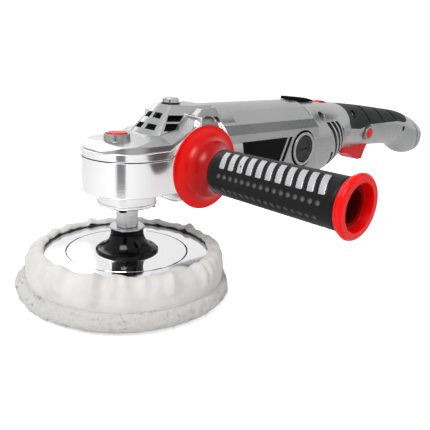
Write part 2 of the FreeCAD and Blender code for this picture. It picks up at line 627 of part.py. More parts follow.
shaft_start = s.crown_radius - s.gear_width / 2 - 0.5
node(turned("armature_shaft", "X", [
    (shaft_start, 0), (shaft_start, s.shaft_radius), (46, s.shaft_radius), (46, 5), (192, 5),
    (192, s.shaft_radius), (200.5, s.shaft_radius), (200.5, 0)], motor_axis), "armature_shaft")
core = tube("core_ring", "X", (core_front, 0, s.motor_height), s.core_radius, 5.01, core_back - core_front)
core_slots = [block("core_slot_%d" % i, (core_front - 1, -1.1, s.motor_height + 18.5), 60, 2.2, 8)
              for i in range(12)]
for i, slot in enumerate(core_slots):
    tilt = FreeCAD.Rotation(FreeCAD.Vector(1, 0, 0), 30 * i)
    middle = vector(0, 0, s.motor_height)
    slot.Placement = FreeCAD.Placement(middle - tilt.multVec(middle), tilt).multiply(slot.Placement)
    slot.setExpression("Placement.Base.z", None)
node(cut("armature_core", core, core_slots), "armature_core")
windings = [tube("winding_%d" % i, "X", (x, 0, s.motor_height), 19.5, 5.01, 9)
            for i, x in enumerate((core_front - 9.1, core_back + 0.1))]
node(group("armature_windings", windings), "armature_windings")
node(tube("commutator", "X", (173, 0, s.motor_height), 13, 5.01, 18), "commutator")

fan = turned("cooling_fan_blank", "X", [
    (80, 5.01), (80, 9), (91, 9), (91, 34), (93, 34), (93, 5.01)], motor_axis)
doc.recompute()
blade = fan.newObject("PartDesign::Pad", "fan_blade_pad")
blade_sketch = draw(fan, "XZ_Plane", [(82, 14), (91.5, 14), (91.5, 33.8), (85, 33.8)])
blade.Profile = blade_sketch
blade.Length = 1.4
blade.SideType = "Symmetric"
around("cooling_fan", fan, blade, 12)
node(fan, "cooling_fan")

pitch_radius = s.crown_radius * s.pinion_teeth / s.crown_teeth
root_radius = pitch_radius - s.addendum - 0.2
tip_radius = pitch_radius + s.addendum
pinion = turned("pinion_blank", "X", [
    (shaft_start + 0.5, s.shaft_radius + 0.01), (shaft_start + 0.5, root_radius),
    (shaft_start + 0.5 + s.gear_width, root_radius), (33, root_radius), (33, 7), (40, 7),
    (40, s.shaft_radius + 0.01)], motor_axis)
doc.recompute()
pinion_tooth = pinion.newObject("PartDesign::Pad", "pinion_tooth_pad")
tooth_section = draw(pinion, "YZ_Plane", [
    (-0.9, root_radius - 0.6), (0.9, root_radius - 0.6), (0.74, pitch_radius), (0.45, tip_radius),
    (-0.45, tip_radius), (-0.74, pitch_radius)])
tooth_section.AttachmentOffset = FreeCAD.Placement(
    FreeCAD.Vector(0, 0, number(shaft_start) + 0.5), FreeCAD.Rotation())
pinion.Placement.Rotation = FreeCAD.Rotation(FreeCAD.Vector(1, 0, 0), 180 / number(s.pinion_teeth))
pinion_tooth.Profile = tooth_section
bind(pinion_tooth, Length=s.gear_width)
around("pinion", pinion, pinion_tooth, s.pinion_teeth)
node(pinion, "pinion")

outer_rings, inner_rings = [], []
for label, x, width, outer, middle, inner in (
        ("front_ring", 46, 9, 13, 9.4, 5.02), ("rear_ring", 192.2, 6.6, 11, 7.6, 4.02)):
    at = (x, 0, s.motor_height)
    outer_rings.append(tube(label + "_outer", "X", at, outer, s.slip + middle, width))
    inner_rings.append(tube(label + "_inner", "X", at, middle, inner, width))
node(group("armature_bearings_outer", outer_rings), "armature_bearings_outer")
node(group("armature_bearings_inner", inner_rings), "armature_bearings_inner")

holders, brushes, springs, caps = [], [], [], []
for i in (-1, 1):
    name = "left" if i < 0 else "right"
    holder = block("holder_" + name, (s.brush_x - 7, 15 * i - (15 if i < 0 else 0), s.motor_height - 6.5),
                   14, 15, 13)
    way = block("holder_way_" + name, (s.brush_x - 4, 14 * i - (20 if i < 0 else 0), s.motor_height - 3.5),
                8, 20, 7)
    holders.append(cut("brush_holder_" + name, holder, [way]))
    brushes.append(block("brush_" + name, (s.brush_x - 3.95, 13.1 * i - (13 if i < 0 else 0),
                                           s.motor_height - 3.45), 7.9, 13, 6.9))
    springs += coils("brush_coil_" + name, (number(s.brush_x), 26.6 if i > 0 else -31.4,
                                            number(s.motor_height)), "Y", 2.4, 0.35, 5, 1.2)
    cap = turned("cap_turn_" + name, "Y", [
        (32.2 * i, 0), (32.2 * i, 8), (35.5 * i, 8), (35.5 * i, s.cap_radius),
        (42.2 * i, s.cap_radius), (42.8 * i, s.cap_radius - 0.6), (42.8 * i, 9.6), (42 * i, 9.2),
        (42 * i, 0)], (s.brush_x, 0, s.motor_height))
    slot = block("cap_slot_" + name, (s.brush_x - 6, 40.6 * i - (3 if i < 0 else 0), s.motor_height - 0.8),
                 12, 3, 1.6)
    caps.append(cut("brush_cap_" + name, cap, [slot]))
node(group("brush_holders", holders), "brush_holders")
node(group("carbon_brushes", brushes), "carbon_brushes")
node(group("brush_springs", springs), "brush_springs")
node(group("brush_caps", caps), "brush_caps")

panels = []
for i in (-1, 1):
    outline = [(94.6, 104.5), (146, 104.5), (156, 127), (94.6, 127)]
    panels.append(padded("panel_%d" % (i + 1), "XZ_Plane", outline, 0.8,
                         (0, -s.motor_side if i < 0 else s.motor_side + 0.8, 0)))
node(group("side_panels", panels), "side_panels")

# ---- rear handle ----

# x, lowest and highest point, half width
HANDLE_SECTIONS = [
    (206.1, 72.4, 155.2, 41.4), (232, 75.5, 154.2, 41), (260, 84.5, 152.8, 36.5), (284, 94, 151.3, 28.5),
    (306, 98.6, 149.8, 24.3), (336, 98.8, 147.1, 22.6), (371, 97, 143.4, 20.6), (410, 95.2, 139, 19.6),
    (424, 93.6, 137.2, 19.6), (438, 88, 134.4, 19.7), (452, 81, 130.9, 19.8), (466, 77.6, 126.6, 19.6),
    (481, 77.8, 120.6, 18.4), (493, 80.5, 114.5, 15.4), (500.5, 86, 107.5, 9.5)]
POINTS_ROUND = 20
SQUARENESS = 2.35


def handle_form(inset):
    """A loft through rounded sections, smaller all round by the inset."""
    wires = []
    for x, low, high, half in HANDLE_SECTIONS:
        tall, wide, middle = (high - low) / 2 - inset, half - inset, (high + low) / 2
        points = []
        for i in range(POINTS_ROUND):
            turn = 2 * math.pi * i / POINTS_ROUND
            y, z = math.cos(turn), math.sin(turn)
            scale = (abs(y) ** SQUARENESS + abs(z) ** SQUARENESS) ** (-1 / SQUARENESS)
            points.append(FreeCAD.Vector(x, y * scale * wide, middle + z * scale * tall))
        curve = Part.BSplineCurve()
        curve.interpolate(points, PeriodicFlag=True)
        wires.append(Part.Wire([curve.toShape()]))
    return Part.makeLoft(wires, True, False)


def across(points, half=60):
    """A prism across the tool from an outline seen from the side."""
    return extruded([(x, -half, z) for x, z in points], (0, 2 * half, 0))


outer = handle_form(0)
skin = handle_form(number(s.rubber_depth))
hollow = handle_form(number(s.shell_wall) + number(s.rubber_depth))
SEAM = [(457, 140), (462, 127), (474, 106), (479, 84), (479, 60)]
tail_region = across(SEAM + [(530, 60), (530, 140)])
tail_seam = across(SEAM + [(x - 2, z) for x, z in reversed(SEAM)])
rubber_region = across([(282.5, 156), (286, 130), (292, 124.6), (316, 122.3), (339, 126.2),
                        (414, 125.4), (432, 122.8), (440, 124.6), (442.5, 156)])
shell_all = outer.cut(hollow)
rubber_shape = outer.cut(skin).common(rubber_region)
shell_all = shell_all.cut(rubber_region.common(outer.cut(skin))).cut(tail_region).cut(tail_seam)
trigger_gap = Part.makeBox(60.5, 19, 14, FreeCAD.Vector(305, -9.5, 92))
dial_gap = Part.makeBox(31, 9.4, 17, FreeCAD.Vector(number(s.dial_x) - 15.5, -4.7, 140))
button_gap = Part.makeCylinder(10.1, 30, vector(s.lock_on_x, -30, s.lock_on_height), FreeCAD.Vector(0, 1, 0))
pin_gap = Part.makeCylinder(1.52, 30.2, vector(s.pivot_x, -15.1, s.pivot_height), FreeCAD.Vector(0, 1, 0))
shell_all = shell_all.cut(trigger_gap).cut(dial_gap).cut(button_gap).cut(pin_gap)
rubber_shape = rubber_shape.cut(button_gap)


VENT_AREA = [(236, 91), (275, 91), (262, 128), (247, 136.5), (226, 136.5), (236, 120), (242, 105.5), (234, 105)]


def vent(x):
    """One curved air slot, a ring piece through both walls."""
    centre, direction = FreeCAD.Vector(x, -60, 88.6), FreeCAD.Vector(0, 1, 0)
    ring = Part.makeCylinder(68.2, 120, centre, direction).cut(Part.makeCylinder(63.8, 120, centre, direction))
    return ring.common(across(VENT_AREA))


for i in range(5):
    shell_all = shell_all.cut(vent(173.8 + 8.6 * i))
screw_places = [(222.6, 142.5, 4.3), (300, 139.7, 1.9), (430, 115, 3.4)]    # x, height, radius in the shell
for x, z, radius in screw_places:
    way = Part.makeCylinder(radius, 120, FreeCAD.Vector(x, -60, z), FreeCAD.Vector(0, 1, 0))
    shell_all = shell_all.cut(way)
    rubber_shape = rubber_shape.cut(Part.makeCylinder(4.3, 120, FreeCAD.Vector(x, -60, z), FreeCAD.Vector(0, 1, 0)))
halves = {"handle_shell_left": Part.makeBox(400, 60, 200, FreeCAD.Vector(150, -60, 0)),
          "handle_shell_right": Part.makeBox(400, 60, 200, FreeCAD.Vector(150, 0, 0))}
for name, half_space in halves.items():
    node(shaped(name, shell_all.common(half_space)), name)
node(shaped("handle_rubber", rubber_shape), "handle_rubber")

gland_height = 93
gland_way = Part.makeCylinder(7.6, 40, FreeCAD.Vector(481, 0, gland_height), FreeCAD.Vector(1, 0, 0))
tail_shape = outer.common(tail_region).cut(handle_form(3)).cut(gland_way)
node(shaped("tail_cap", tail_shape), "tail_cap")
seam_ring = handle_form(0.8).common(tail_seam).cut(handle_form(4.6))
node(shaped("tail_seal", seam_ring), "tail_seal")
node(turned("cable_gland", "X", [
    (480, s.inlet_radius), (480, 9.5), (483, 9.5), (483, 7.5), (503.4, 7.5), (503.4, s.inlet_radius)],
    (0, 0, gland_height)), "cable_gland")
node(group("cord_clamp", [block("clamp_low", (464, -9, 85.7), 7, 18, 2.5),
                          block("clamp_high", (464, -9, 98.5), 7, 18, 4)]), "cord_clamp")

handle_screws = [cylinder("handle_screw_%d" % i, "Y", (x, -14, z), 1.85, 28)
                 for i, (x, z, radius) in enumerate(screw_places)]
node(group("handle_screws", handle_screws), "handle_screws")

node(padded("top_strip", "XZ_Plane", [
    (200.5, 157.4), (207, 157.4), (209, 155.4), (240, 154.2), (240, 155.8), (228, 158.2, -0.4),
    (201.5, 160.4)], 13, (0, 0, 0), True),
    "top_strip")

trigger = padded("trigger_pad", "XZ_Plane", [
    (307, 104.5), (307, 92.6, 1.2), (328, 86.8, -2.2), (352.4, 81.8, 0.8), (361.4, 99.6),
    (361.4, 104)], s.trigger_width, (0, 0, 0), True)
pivot_way = cylinder("pivot_way", "Y", (s.pivot_x, -12, s.pivot_height), 1.55, 24)
node(cut("trigger", trigger, [pivot_way]), "trigger")
node(cylinder("trigger_pin", "Y", (s.pivot_x, -15, s.pivot_height), 1.5, 30), "trigger_pin")
node(block("switch_body", (316, -10, 112.5), 40, 20, 16), "switch_body")
node(group("trigger_spring", coils("trigger_coil", (346, 0, 105.2), "Z", 3, 0.4, 6, 1.25)),
     "trigger_spring")
node(turned("lock_on_button", "Y", [
    (-27.4, 0, -0.9), (-25.6, s.lock_on_radius), (-13.6, s.lock_on_radius), (-13.6, 0)],
    (s.lock_on_x, 0, s.lock_on_height)), "lock_on_button")
collar_bore = s.lock_on_radius + 0.15
node(turned("lock_on_collar", "Y", [
    (-25.2, collar_bore), (-25.2, 7.9), (-19, 7.9), (-19, 10), (-17.2, 10), (-17.2, collar_bore)],
    (s.lock_on_x, 0, s.lock_on_height)), "lock_on_collar")

dial = cylinder("dial_wheel", "Y", (s.dial_x, -s.dial_width / 2, s.dial_height), s.dial_radius, s.dial_width)
dial_bore = cylinder("dial_bore", "Y", (s.dial_x, -10, s.dial_height), 3.05, 20)
notches = []
for i in range(24):
    turn = 2 * math.pi * i / 24
    reach = number(s.dial_radius) + 0.5
    notches.append(cylinder("dial_notch_%d" % i, "Y", (
        s.dial_x + reach * math.cos(turn), -10, s.dial_height + reach * math.sin(turn)), 1, 20))
node(cut("speed_dial", dial, [dial_bore] + notches), "speed_dial")
module = fuse("module_parts", [
    block("module_box", (s.dial_x - 20, 6, s.dial_height - 16), 40, 6, 19),
    cylinder("dial_axle", "Y", (s.dial_x, -7, s.dial_height), 3, 15)])
node(module, "speed_control")

# ---- side handle ----

node(turned("side_handle_core", "Y", [
    (-s.boss_end - 0.05, s.stud_radius + 0.02), (-s.boss_end - 0.05, 13.5), (-s.funnel_distance + 3, 14.5),
    (-s.funnel_distance + 1.4, s.funnel_radius - 0.8, 0.3), (-s.funnel_distance - 0.8, s.funnel_radius, 2.6),
    (-s.funnel_distance - 9, 22.5, 1.6), (-s.sleeve_start, s.sleeve_radius + 0.2),
    (-s.sleeve_start, s.grip_core), (-s.sleeve_end + 0.6, s.grip_core), (-s.sleeve_end + 0.6, s.grip_bore),
    (-s.sleeve_end + s.grip_bore_depth, s.grip_bore), (-s.sleeve_end + s.grip_bore_depth, 0), (-60, 0),
    (-60, s.stud_radius + 0.02)], grip_axis), "side_handle_core")
sleeve = turned("sleeve_turn", "Y", [
    (-s.sleeve_start - 0.05, s.grip_core + 0.02), (-s.sleeve_start - 0.05, s.sleeve_radius - 0.5),
    (-s.sleeve_start - 1, s.sleeve_radius), (-s.sleeve_end + 0.7, s.sleeve_radius + 0.7),
    (-s.sleeve_end + 0.7, s.grip_core + 0.02)], grip_axis)
node(sleeve, "side_handle_sleeve")
node(turned("side_handle_end", "Y", [
    (-s.sleeve_end + 0.5, s.grip_bore), (-s.sleeve_end + 0.5, s.sleeve_radius + 1.2), (-s.sleeve_end, 19.4, -0.6),
    (-s.sleeve_end - 2, 19.4), (-s.sleeve_end - 3, s.grip_end_radius, -0.5),
    (-s.grip_end + 1, s.grip_end_radius), (-s.grip_end, s.grip_end_radius - 1), (-s.grip_end, 16.1),
    (-s.sleeve_end - 0.6, 15), (-s.sleeve_end - 0.6, s.grip_bore)], grip_axis),
    "side_handle_end")
node(cylinder("side_handle_stud", "Y", (s.grip_x, -59.9, s.grip_height), s.stud_radius, 29),
     "side_handle_stud")

# ---- checks and files ----

doc.recompute()
faults = []
for thing in doc.Objects:
    if any(word in thing.State for word in ("Invalid", "Error")):
        faults.append("%s: %s" % (thing.Name, thing.State))
for thing in nodes:
    if thing.Shape.isNull() or not thing.Shape.isValid() or not thing.Shape.Solids:
        faults.append(thing.Label + ": its shape is null, not valid or has no solid")
if faults:
    raise RuntimeError("\n".join(faults))
os.makedirs("parts", exist_ok=True)
for thing in nodes:
    thing.Shape.exportStep("parts/%s.step" % thing.Label)
    box = thing.Shape.BoundBox
    print("%-26s %2d solids %8.1f cm3  x %.1f..%.1f y %.1f..%.1f z %.1f..%.1f" % (
        thing.Label, len(thing.Shape.Solids), thing.Shape.Volume / 1000,
        box.XMin, box.XMax, box.YMin, box.YMax, box.ZMin, box.ZMax))
print(len(nodes), "sub-parts")
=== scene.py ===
import bpy
import bmesh
import json
import math
from mathutils import Matrix, Vector, noise


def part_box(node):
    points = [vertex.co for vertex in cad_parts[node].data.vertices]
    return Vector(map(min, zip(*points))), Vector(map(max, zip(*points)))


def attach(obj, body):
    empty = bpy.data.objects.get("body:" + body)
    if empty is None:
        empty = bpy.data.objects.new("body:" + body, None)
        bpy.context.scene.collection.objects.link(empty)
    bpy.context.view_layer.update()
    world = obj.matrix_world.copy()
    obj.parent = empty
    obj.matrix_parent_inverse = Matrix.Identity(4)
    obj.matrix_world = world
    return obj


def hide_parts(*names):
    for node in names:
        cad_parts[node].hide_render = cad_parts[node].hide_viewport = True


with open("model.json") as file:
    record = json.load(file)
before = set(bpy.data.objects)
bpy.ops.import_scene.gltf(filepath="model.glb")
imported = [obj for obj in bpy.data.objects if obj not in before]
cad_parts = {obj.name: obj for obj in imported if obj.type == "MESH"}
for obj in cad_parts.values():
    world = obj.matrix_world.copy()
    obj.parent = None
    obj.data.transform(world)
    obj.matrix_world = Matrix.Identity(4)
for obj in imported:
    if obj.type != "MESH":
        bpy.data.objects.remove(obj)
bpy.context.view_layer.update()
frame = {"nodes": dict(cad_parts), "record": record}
nodes = frame["nodes"]
print("frame loaded:", len(nodes), "nodes")


# small helpers

def deselectAll():
    if bpy.context.mode != "OBJECT":
        bpy.ops.object.mode_set(mode="OBJECT")
    for item in list(bpy.context.selected_objects):
        item.select_set(False)


def pick(piece):
    deselectAll()
    piece.select_set(True)
    bpy.context.view_layer.objects.active = piece
    return piece


def newest(name):
    piece = bpy.context.view_layer.objects.active
    piece.name = name
    piece.data.name = name
    return piece


def applyAll(piece):
    pick(piece)
    for modifier in list(piece.modifiers):
        bpy.ops.object.modifier_apply(modifier=modifier.name)
    return piece


def settle(piece):
    pick(piece)
    bpy.ops.object.transform_apply(location=True, rotation=True, scale=True)
    return piece


def smooth(piece, degrees=35):
    pick(piece)
    bpy.ops.object.shade_smooth_by_angle(angle=math.radians(degrees))
    return piece


def dress(piece, body, material, slotName, *replaced):
    piece.data.materials.clear()
    piece.data.materials.append(material)
    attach(piece, body)
    if replaced:
        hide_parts(*replaced)
    return piece


# shader groups, each used by several materials

def newGroup(name, inputs, outputs):
    group = bpy.data.node_groups.new(name, "ShaderNodeTree")
    for title, value in inputs:
        socket = group.interface.new_socket(title, in_out="INPUT", socket_type="NodeSocketFloat")
        socket.default_value = value
    for title, kind in outputs:
        group.interface.new_socket(title, in_out="OUTPUT", socket_type=kind)
    return group, group.nodes.new("NodeGroupInput"), group.nodes.new("NodeGroupOutput")


def addMesh(name, points, edges=(), faces=()):
    mesh = bpy.data.meshes.new(name)
    mesh.from_pydata(points, edges, faces)
    piece = bpy.data.objects.new(name, mesh)
    bpy.context.scene.collection.objects.link(piece)
    return pick(piece)


def objectPoints(tree):
    return tree.nodes.new("ShaderNodeTexCoord").outputs["Object"]


def mathNode(tree, operation, first, second):
    step = tree.nodes.new("ShaderNodeMath")
    step.operation = operation
    for socket, value in zip(step.inputs, (first, second)):
        if isinstance(value, (int, float)):
            socket.default_value = value
        else:
            tree.links.new(value, socket)
    return step.outputs[0]


def noiseNode(tree, points, scale, detail=2.0):
    cloud = tree.nodes.new("ShaderNodeTexNoise")
    cloud.inputs["Detail"].default_value = detail
    tree.links.new(points, cloud.inputs["Vector"])
    if isinstance(scale, (int, float)):
        cloud.inputs["Scale"].default_value = scale
    else:
        tree.links.new(scale, cloud.inputs["Scale"])
    return cloud.outputs["Fac"]


def buildGrain():
    # moulded grain: fine bumps, and a roughness that drifts slowly over the surface
    group, into, out = newGroup("mouldedGrain", [
        ("Grain Scale", 900), ("Roughness", 0.4), ("Spread", 0.08)],
        [("Roughness", "NodeSocketFloat"), ("Height", "NodeSocketFloat"), ("Drift", "NodeSocketFloat")])
    points = objectPoints(group)
    fine = noiseNode(group, points, into.outputs["Grain Scale"], 3)
    slow = noiseNode(group, points, 14, 4)
    centred = mathNode(group, "SUBTRACT", slow, 0.5)
    spread = mathNode(group, "MULTIPLY", centred, into.outputs["Spread"])
    drifting = mathNode(group, "MULTIPLY", spread, 2)
    group.links.new(mathNode(group, "ADD", drifting, into.outputs["Roughness"]), out.inputs["Roughness"])
    group.links.new(fine, out.inputs["Height"])
    group.links.new(slow, out.inputs["Drift"])
    return group


def buildScuffs():
    # hairline scratches and rubbed specks, as a mask
    group, into, out = newGroup("handlingScuffs", [("Amount", 0.5)], [("Mask", "NodeSocketFloat")])
    points = objectPoints(group)
    stretch = group.nodes.new("ShaderNodeMapping")
    stretch.inputs["Rotation"].default_value = (0.4, 0.7, 0.3)
    stretch.inputs["Scale"].default_value = (30, 900, 300)
    group.links.new(points, stretch.inputs["Vector"])
    hair = noiseNode(group, stretch.outputs["Vector"], 1, 2)
    patches = noiseNode(group, points, 35, 3)
    lines = mathNode(group, "GREATER_THAN", hair, 0.69)
    where = mathNode(group, "GREATER_THAN", patches, 0.56)
    mask = mathNode(group, "MULTIPLY", mathNode(group, "MULTIPLY", lines, where), into.outputs["Amount"])
    group.links.new(mask, out.inputs["Mask"])
    return group


grain = buildGrain()
scuffs = buildScuffs()


def newMaterial(name):
    material = bpy.data.materials.new(name)
    material.use_nodes = True
    tree = material.node_tree
    return material, tree, tree.nodes["Principled BSDF"]


def placeGroup(tree, group, **values):
    box = tree.nodes.new("ShaderNodeGroup")
    box.node_tree = group
    for title, value in values.items():
        box.inputs[title.replace("_", " ")].default_value = value
    return box


def mixColours(tree, factor, first, second):
    mix = tree.nodes.new("ShaderNodeMix")
    mix.data_type = "RGBA"
    tree.links.new(factor, mix.inputs["Factor"])
    mix.inputs["A"].default_value = (*first, 1)
    mix.inputs["B"].default_value = (*second, 1)
    return mix.outputs["Result"]


def softEdges(tree, radius):
    # rounds the look of hard edges
    soft = tree.nodes.new("ShaderNodeBevel")
    soft.samples = 8
    soft.inputs["Radius"].default_value = radius
    return soft.outputs["Normal"]


def bumpFrom(tree, height, distance, strength=1.0, edges=0):
    bump = tree.nodes.new("ShaderNodeBump")
    if edges:
        tree.links.new(softEdges(tree, edges), bump.inputs["Normal"])
    bump.inputs["Strength"].default_value = strength
    bump.inputs["Distance"].default_value = distance
    tree.links.new(height, bump.inputs["Height"])
    return bump.outputs["Normal"]


def mouldedMaterial(name, values):
    # plastic, rubber or cast metal: two close colours, grain, drifting roughness and scuffs
    material, tree, shader = newMaterial(name)
    box = placeGroup(tree, grain, Grain_Scale=values["grainScale"], Roughness=values["roughness"],
                     Spread=values.get("spread", 0.06))
    colour = mixColours(tree, box.outputs["Drift"], values["dark"], values["light"])
    tree.links.new(colour, shader.inputs["Base Color"])
    worn = placeGroup(tree, scuffs, Amount=values.get("scuffs", 0.1))
    rough = mathNode(tree, "ADD", box.outputs["Roughness"], worn.outputs["Mask"])
    tree.links.new(rough, shader.inputs["Roughness"])
    tree.links.new(bumpFrom(tree, box.outputs["Height"], values["bump"], edges=values.get("edges", 0.0005)),
                   shader.inputs["Normal"])
    shader.inputs["Metallic"].default_value = values.get("metallic", 0)
    shader.inputs["Coat Weight"].default_value = values.get("coat", 0)
    shader.inputs["Coat Roughness"].default_value = values.get("coatRoughness", 0.1)
    shader.inputs["Specular IOR Level"].default_value = values.get("specular", 0.5)
    return material


moulded = {
    "grey_plastic": dict(dark=(0.37, 0.372, 0.376), light=(0.46, 0.462, 0.466), grainScale=1500,
                         roughness=0.27, bump=0.00003, metallic=0.7, coat=0.15, coatRoughness=0.2,
                         scuffs=0.06, edges=0.0004),
    "case_alloy": dict(dark=(0.84, 0.84, 0.85), light=(0.92, 0.92, 0.93), grainScale=700, roughness=0.16,
                       bump=0.00003, metallic=0.8, scuffs=0.08, edges=0.001),
    "red_plastic": dict(dark=(0.66, 0.003, 0.002), light=(0.78, 0.005, 0.003), grainScale=500, roughness=0.3,
                        bump=0.00003, specular=0.3, coat=0.1, scuffs=0.08),
    "handle_red": dict(dark=(0.80, 0.003, 0.002), light=(0.92, 0.006, 0.004), grainScale=420, roughness=0.3,
                       bump=0.00005, specular=0.28, coat=0.1, coatRoughness=0.2, scuffs=0.08),
    "grip_rubber": dict(dark=(0.009, 0.010, 0.011), light=(0.018, 0.019, 0.021), grainScale=1800,
                        roughness=0.46, bump=0.00008, specular=0.22, scuffs=0.1),
    "black_plastic": dict(dark=(0.012, 0.012, 0.013), light=(0.022, 0.022, 0.024), grainScale=1400,
                          roughness=0.42, bump=0.00004, scuffs=0.1),
    "gloss_black": dict(dark=(0.002, 0.002, 0.002), light=(0.004, 0.004, 0.004), grainScale=300,
                        roughness=0.32, bump=0.00001, specular=0.1, scuffs=0.06),
    "hub_black": dict(dark=(0.002, 0.002, 0.002), light=(0.004, 0.004, 0.004), grainScale=120, roughness=0.14,
                      spread=0.04, bump=0.00001, specular=0.3, scuffs=0.03),
    "gasket": dict(dark=(0.003, 0.003, 0.003), light=(0.006, 0.006, 0.006), grainScale=900, roughness=0.8,
                   bump=0.00004, specular=0.08),
    "foam": dict(dark=(0.5, 0.49, 0.45), light=(0.62, 0.61, 0.57), grainScale=900, roughness=0.9,
                 bump=0.0004),
    "carbon": dict(dark=(0.02, 0.02, 0.02), light=(0.04, 0.04, 0.04), grainScale=2000, roughness=0.6,
                   bump=0.00003),
    "dark_washer": dict(dark=(0.02, 0.02, 0.021), light=(0.045, 0.045, 0.047), grainScale=900, roughness=0.35,
                        bump=0.00002, metallic=0.9, scuffs=0.15),
    "black_screws": dict(dark=(0.015, 0.015, 0.016), light=(0.04, 0.04, 0.042), grainScale=900,
                         roughness=0.38, bump=0.00002, metallic=0.8, scuffs=0.15),
    "steel": dict(dark=(0.52, 0.52, 0.53), light=(0.68, 0.68, 0.69), grainScale=1500, roughness=0.24,
                  bump=0.00002, metallic=1, scuffs=0.12),
    "gear_steel": dict(dark=(0.3, 0.3, 0.31), light=(0.45, 0.45, 0.46), grainScale=1500, roughness=0.3,
                       bump=0.00002, metallic=1, scuffs=0.12),
    "lamination": dict(dark=(0.16, 0.16, 0.17), light=(0.26, 0.26, 0.28), grainScale=1200, roughness=0.45,
                       bump=0.00004, metallic=0.9),
    "copper": dict(dark=(0.45, 0.19, 0.09), light=(0.72, 0.36, 0.2), grainScale=900, roughness=0.3,
                   bump=0.00006, metallic=0.95),
    "brass": dict(dark=(0.6, 0.42, 0.16), light=(0.78, 0.58, 0.26), grainScale=900, roughness=0.28,
                  bump=0.00002, metallic=1),
}
materials = {name: mouldedMaterial(name, values) for name, values in moulded.items()}


def turnedMetal(name, values):
    # faint rings around the spindle, left by the lathe, and one groove coloured black as painted shade
    material, tree, shader = newMaterial(name)
    points = objectPoints(tree)
    split = tree.nodes.new("ShaderNodeSeparateXYZ")
    tree.links.new(points, split.inputs[0])
    squares = [mathNode(tree, "MULTIPLY", split.outputs[i], split.outputs[i]) for i in (0, 1)]
    radius = mathNode(tree, "SQRT", mathNode(tree, "ADD", *squares), 0)
    turns = mathNode(tree, "MULTIPLY", radius, values["ringsPerMetre"] * 2 * math.pi)
    rings = mathNode(tree, "SINE", turns, 0)
    box = placeGroup(tree, grain, Grain_Scale=300, Roughness=values["roughness"], Spread=values["spread"])
    worn = placeGroup(tree, scuffs, Amount=0.1)
    rough = mathNode(tree, "ADD", box.outputs["Roughness"], worn.outputs["Mask"])
    tree.links.new(rough, shader.inputs["Roughness"])
    tree.links.new(bumpFrom(tree, rings, values["bump"]), shader.inputs["Normal"])
    # painted shade: a thin ring at the groove's radius is coloured near black
    away = mathNode(tree, "ABSOLUTE", mathNode(tree, "SUBTRACT", radius, values["groove"]), 0)
    clear = mathNode(tree, "GREATER_THAN", away, values["grooveHalf"])
    colour = mixColours(tree, clear, values["dark"], values["light"])
    tree.links.new(colour, shader.inputs["Base Color"])
    shader.inputs["Metallic"].default_value = 1
    return material


materials["plate_metal"] = turnedMetal("plate_metal", dict(
    ringsPerMetre=1400, roughness=0.05, spread=0.03, bump=0.0000006, light=(0.93, 0.93, 0.94),
    dark=(0.004, 0.004, 0.004), groove=0.052, grooveHalf=0.00055))


def woolMaterial(name, values):
    # soft pile: light tips, with painted shade that greys the pile between the tufts
    material, tree, shader = newMaterial(name)
    points = objectPoints(tree)
    tufts = noiseNode(tree, points, values["tuftScale"], 4)
    fibres = noiseNode(tree, points, values["fibreScale"], 3)
    both = mathNode(tree, "MULTIPLY", mathNode(tree, "ADD", tufts, fibres), 0.5)
    # painted shade: the colour follows the bump, darker where it dips
    tree.links.new(mixColours(tree, both, values["dark"], values["light"]), shader.inputs["Base Color"])
    tree.links.new(bumpFrom(tree, both, values["bump"]), shader.inputs["Normal"])
    shader.inputs["Roughness"].default_value = 0.95
    shader.inputs["Sheen Weight"].default_value = values["sheen"]
    shader.inputs["Sheen Roughness"].default_value = 0.5
    shader.inputs["Subsurface Weight"].default_value = 0.12
    shader.inputs["Subsurface Radius"].default_value = (0.004, 0.004, 0.004)
    shader.inputs["Subsurface Scale"].default_value = 0.5
    return material


materials["fleece"] = woolMaterial("fleece", dict(
    tuftScale=420, fibreScale=2600, dark=(0.52, 0.515, 0.50), light=(0.92, 0.915, 0.90), bump=0.0018,
    sheen=0.4))


def wovenMaterial(name, values):
    # plain weave from two crossed waves, slightly uneven
    material, tree, shader = newMaterial(name)
    points = objectPoints(tree)
    waves = []
    for turn in (45, -45):
        lay = tree.nodes.new("ShaderNodeMapping")
        lay.inputs["Rotation"].default_value = (0.5, 0.3, math.radians(turn))
        tree.links.new(points, lay.inputs["Vector"])
        wave = tree.nodes.new("ShaderNodeTexWave")
        wave.inputs["Scale"].default_value = values["threads"]
        wave.inputs["Distortion"].default_value = 1.2
        wave.inputs["Detail"].default_value = 1
        tree.links.new(lay.outputs["Vector"], wave.inputs["Vector"])
        waves.append(wave.outputs["Fac"])
    weave = mathNode(tree, "MULTIPLY", mathNode(tree, "ADD", *waves), 0.5)
    slow = noiseNode(tree, points, 60, 4)
    tree.links.new(mixColours(tree, slow, values["dark"], values["light"]), shader.inputs["Base Color"])
    tree.links.new(bumpFrom(tree, weave, values["bump"]), shader.inputs["Normal"])
    shader.inputs["Roughness"].default_value = 0.85
    shader.inputs["Sheen Weight"].default_value = 0.3
    return material


materials["bonnet_fabric"] = wovenMaterial("bonnet_fabric", dict(
    threads=900, dark=(0.60, 0.595, 0.58), light=(0.78, 0.775, 0.76), bump=0.00005))


def mapRange(tree, value, *limits):
    ramp = tree.nodes.new("ShaderNodeMapRange")
    ramp.interpolation_type = "SMOOTHSTEP"
    tree.links.new(value, ramp.inputs["Value"])
    for title, limit in zip(("From Min", "From Max", "To Min", "To Max"), limits):
        ramp.inputs[title].default_value = limit
    return ramp.outputs["Result"]


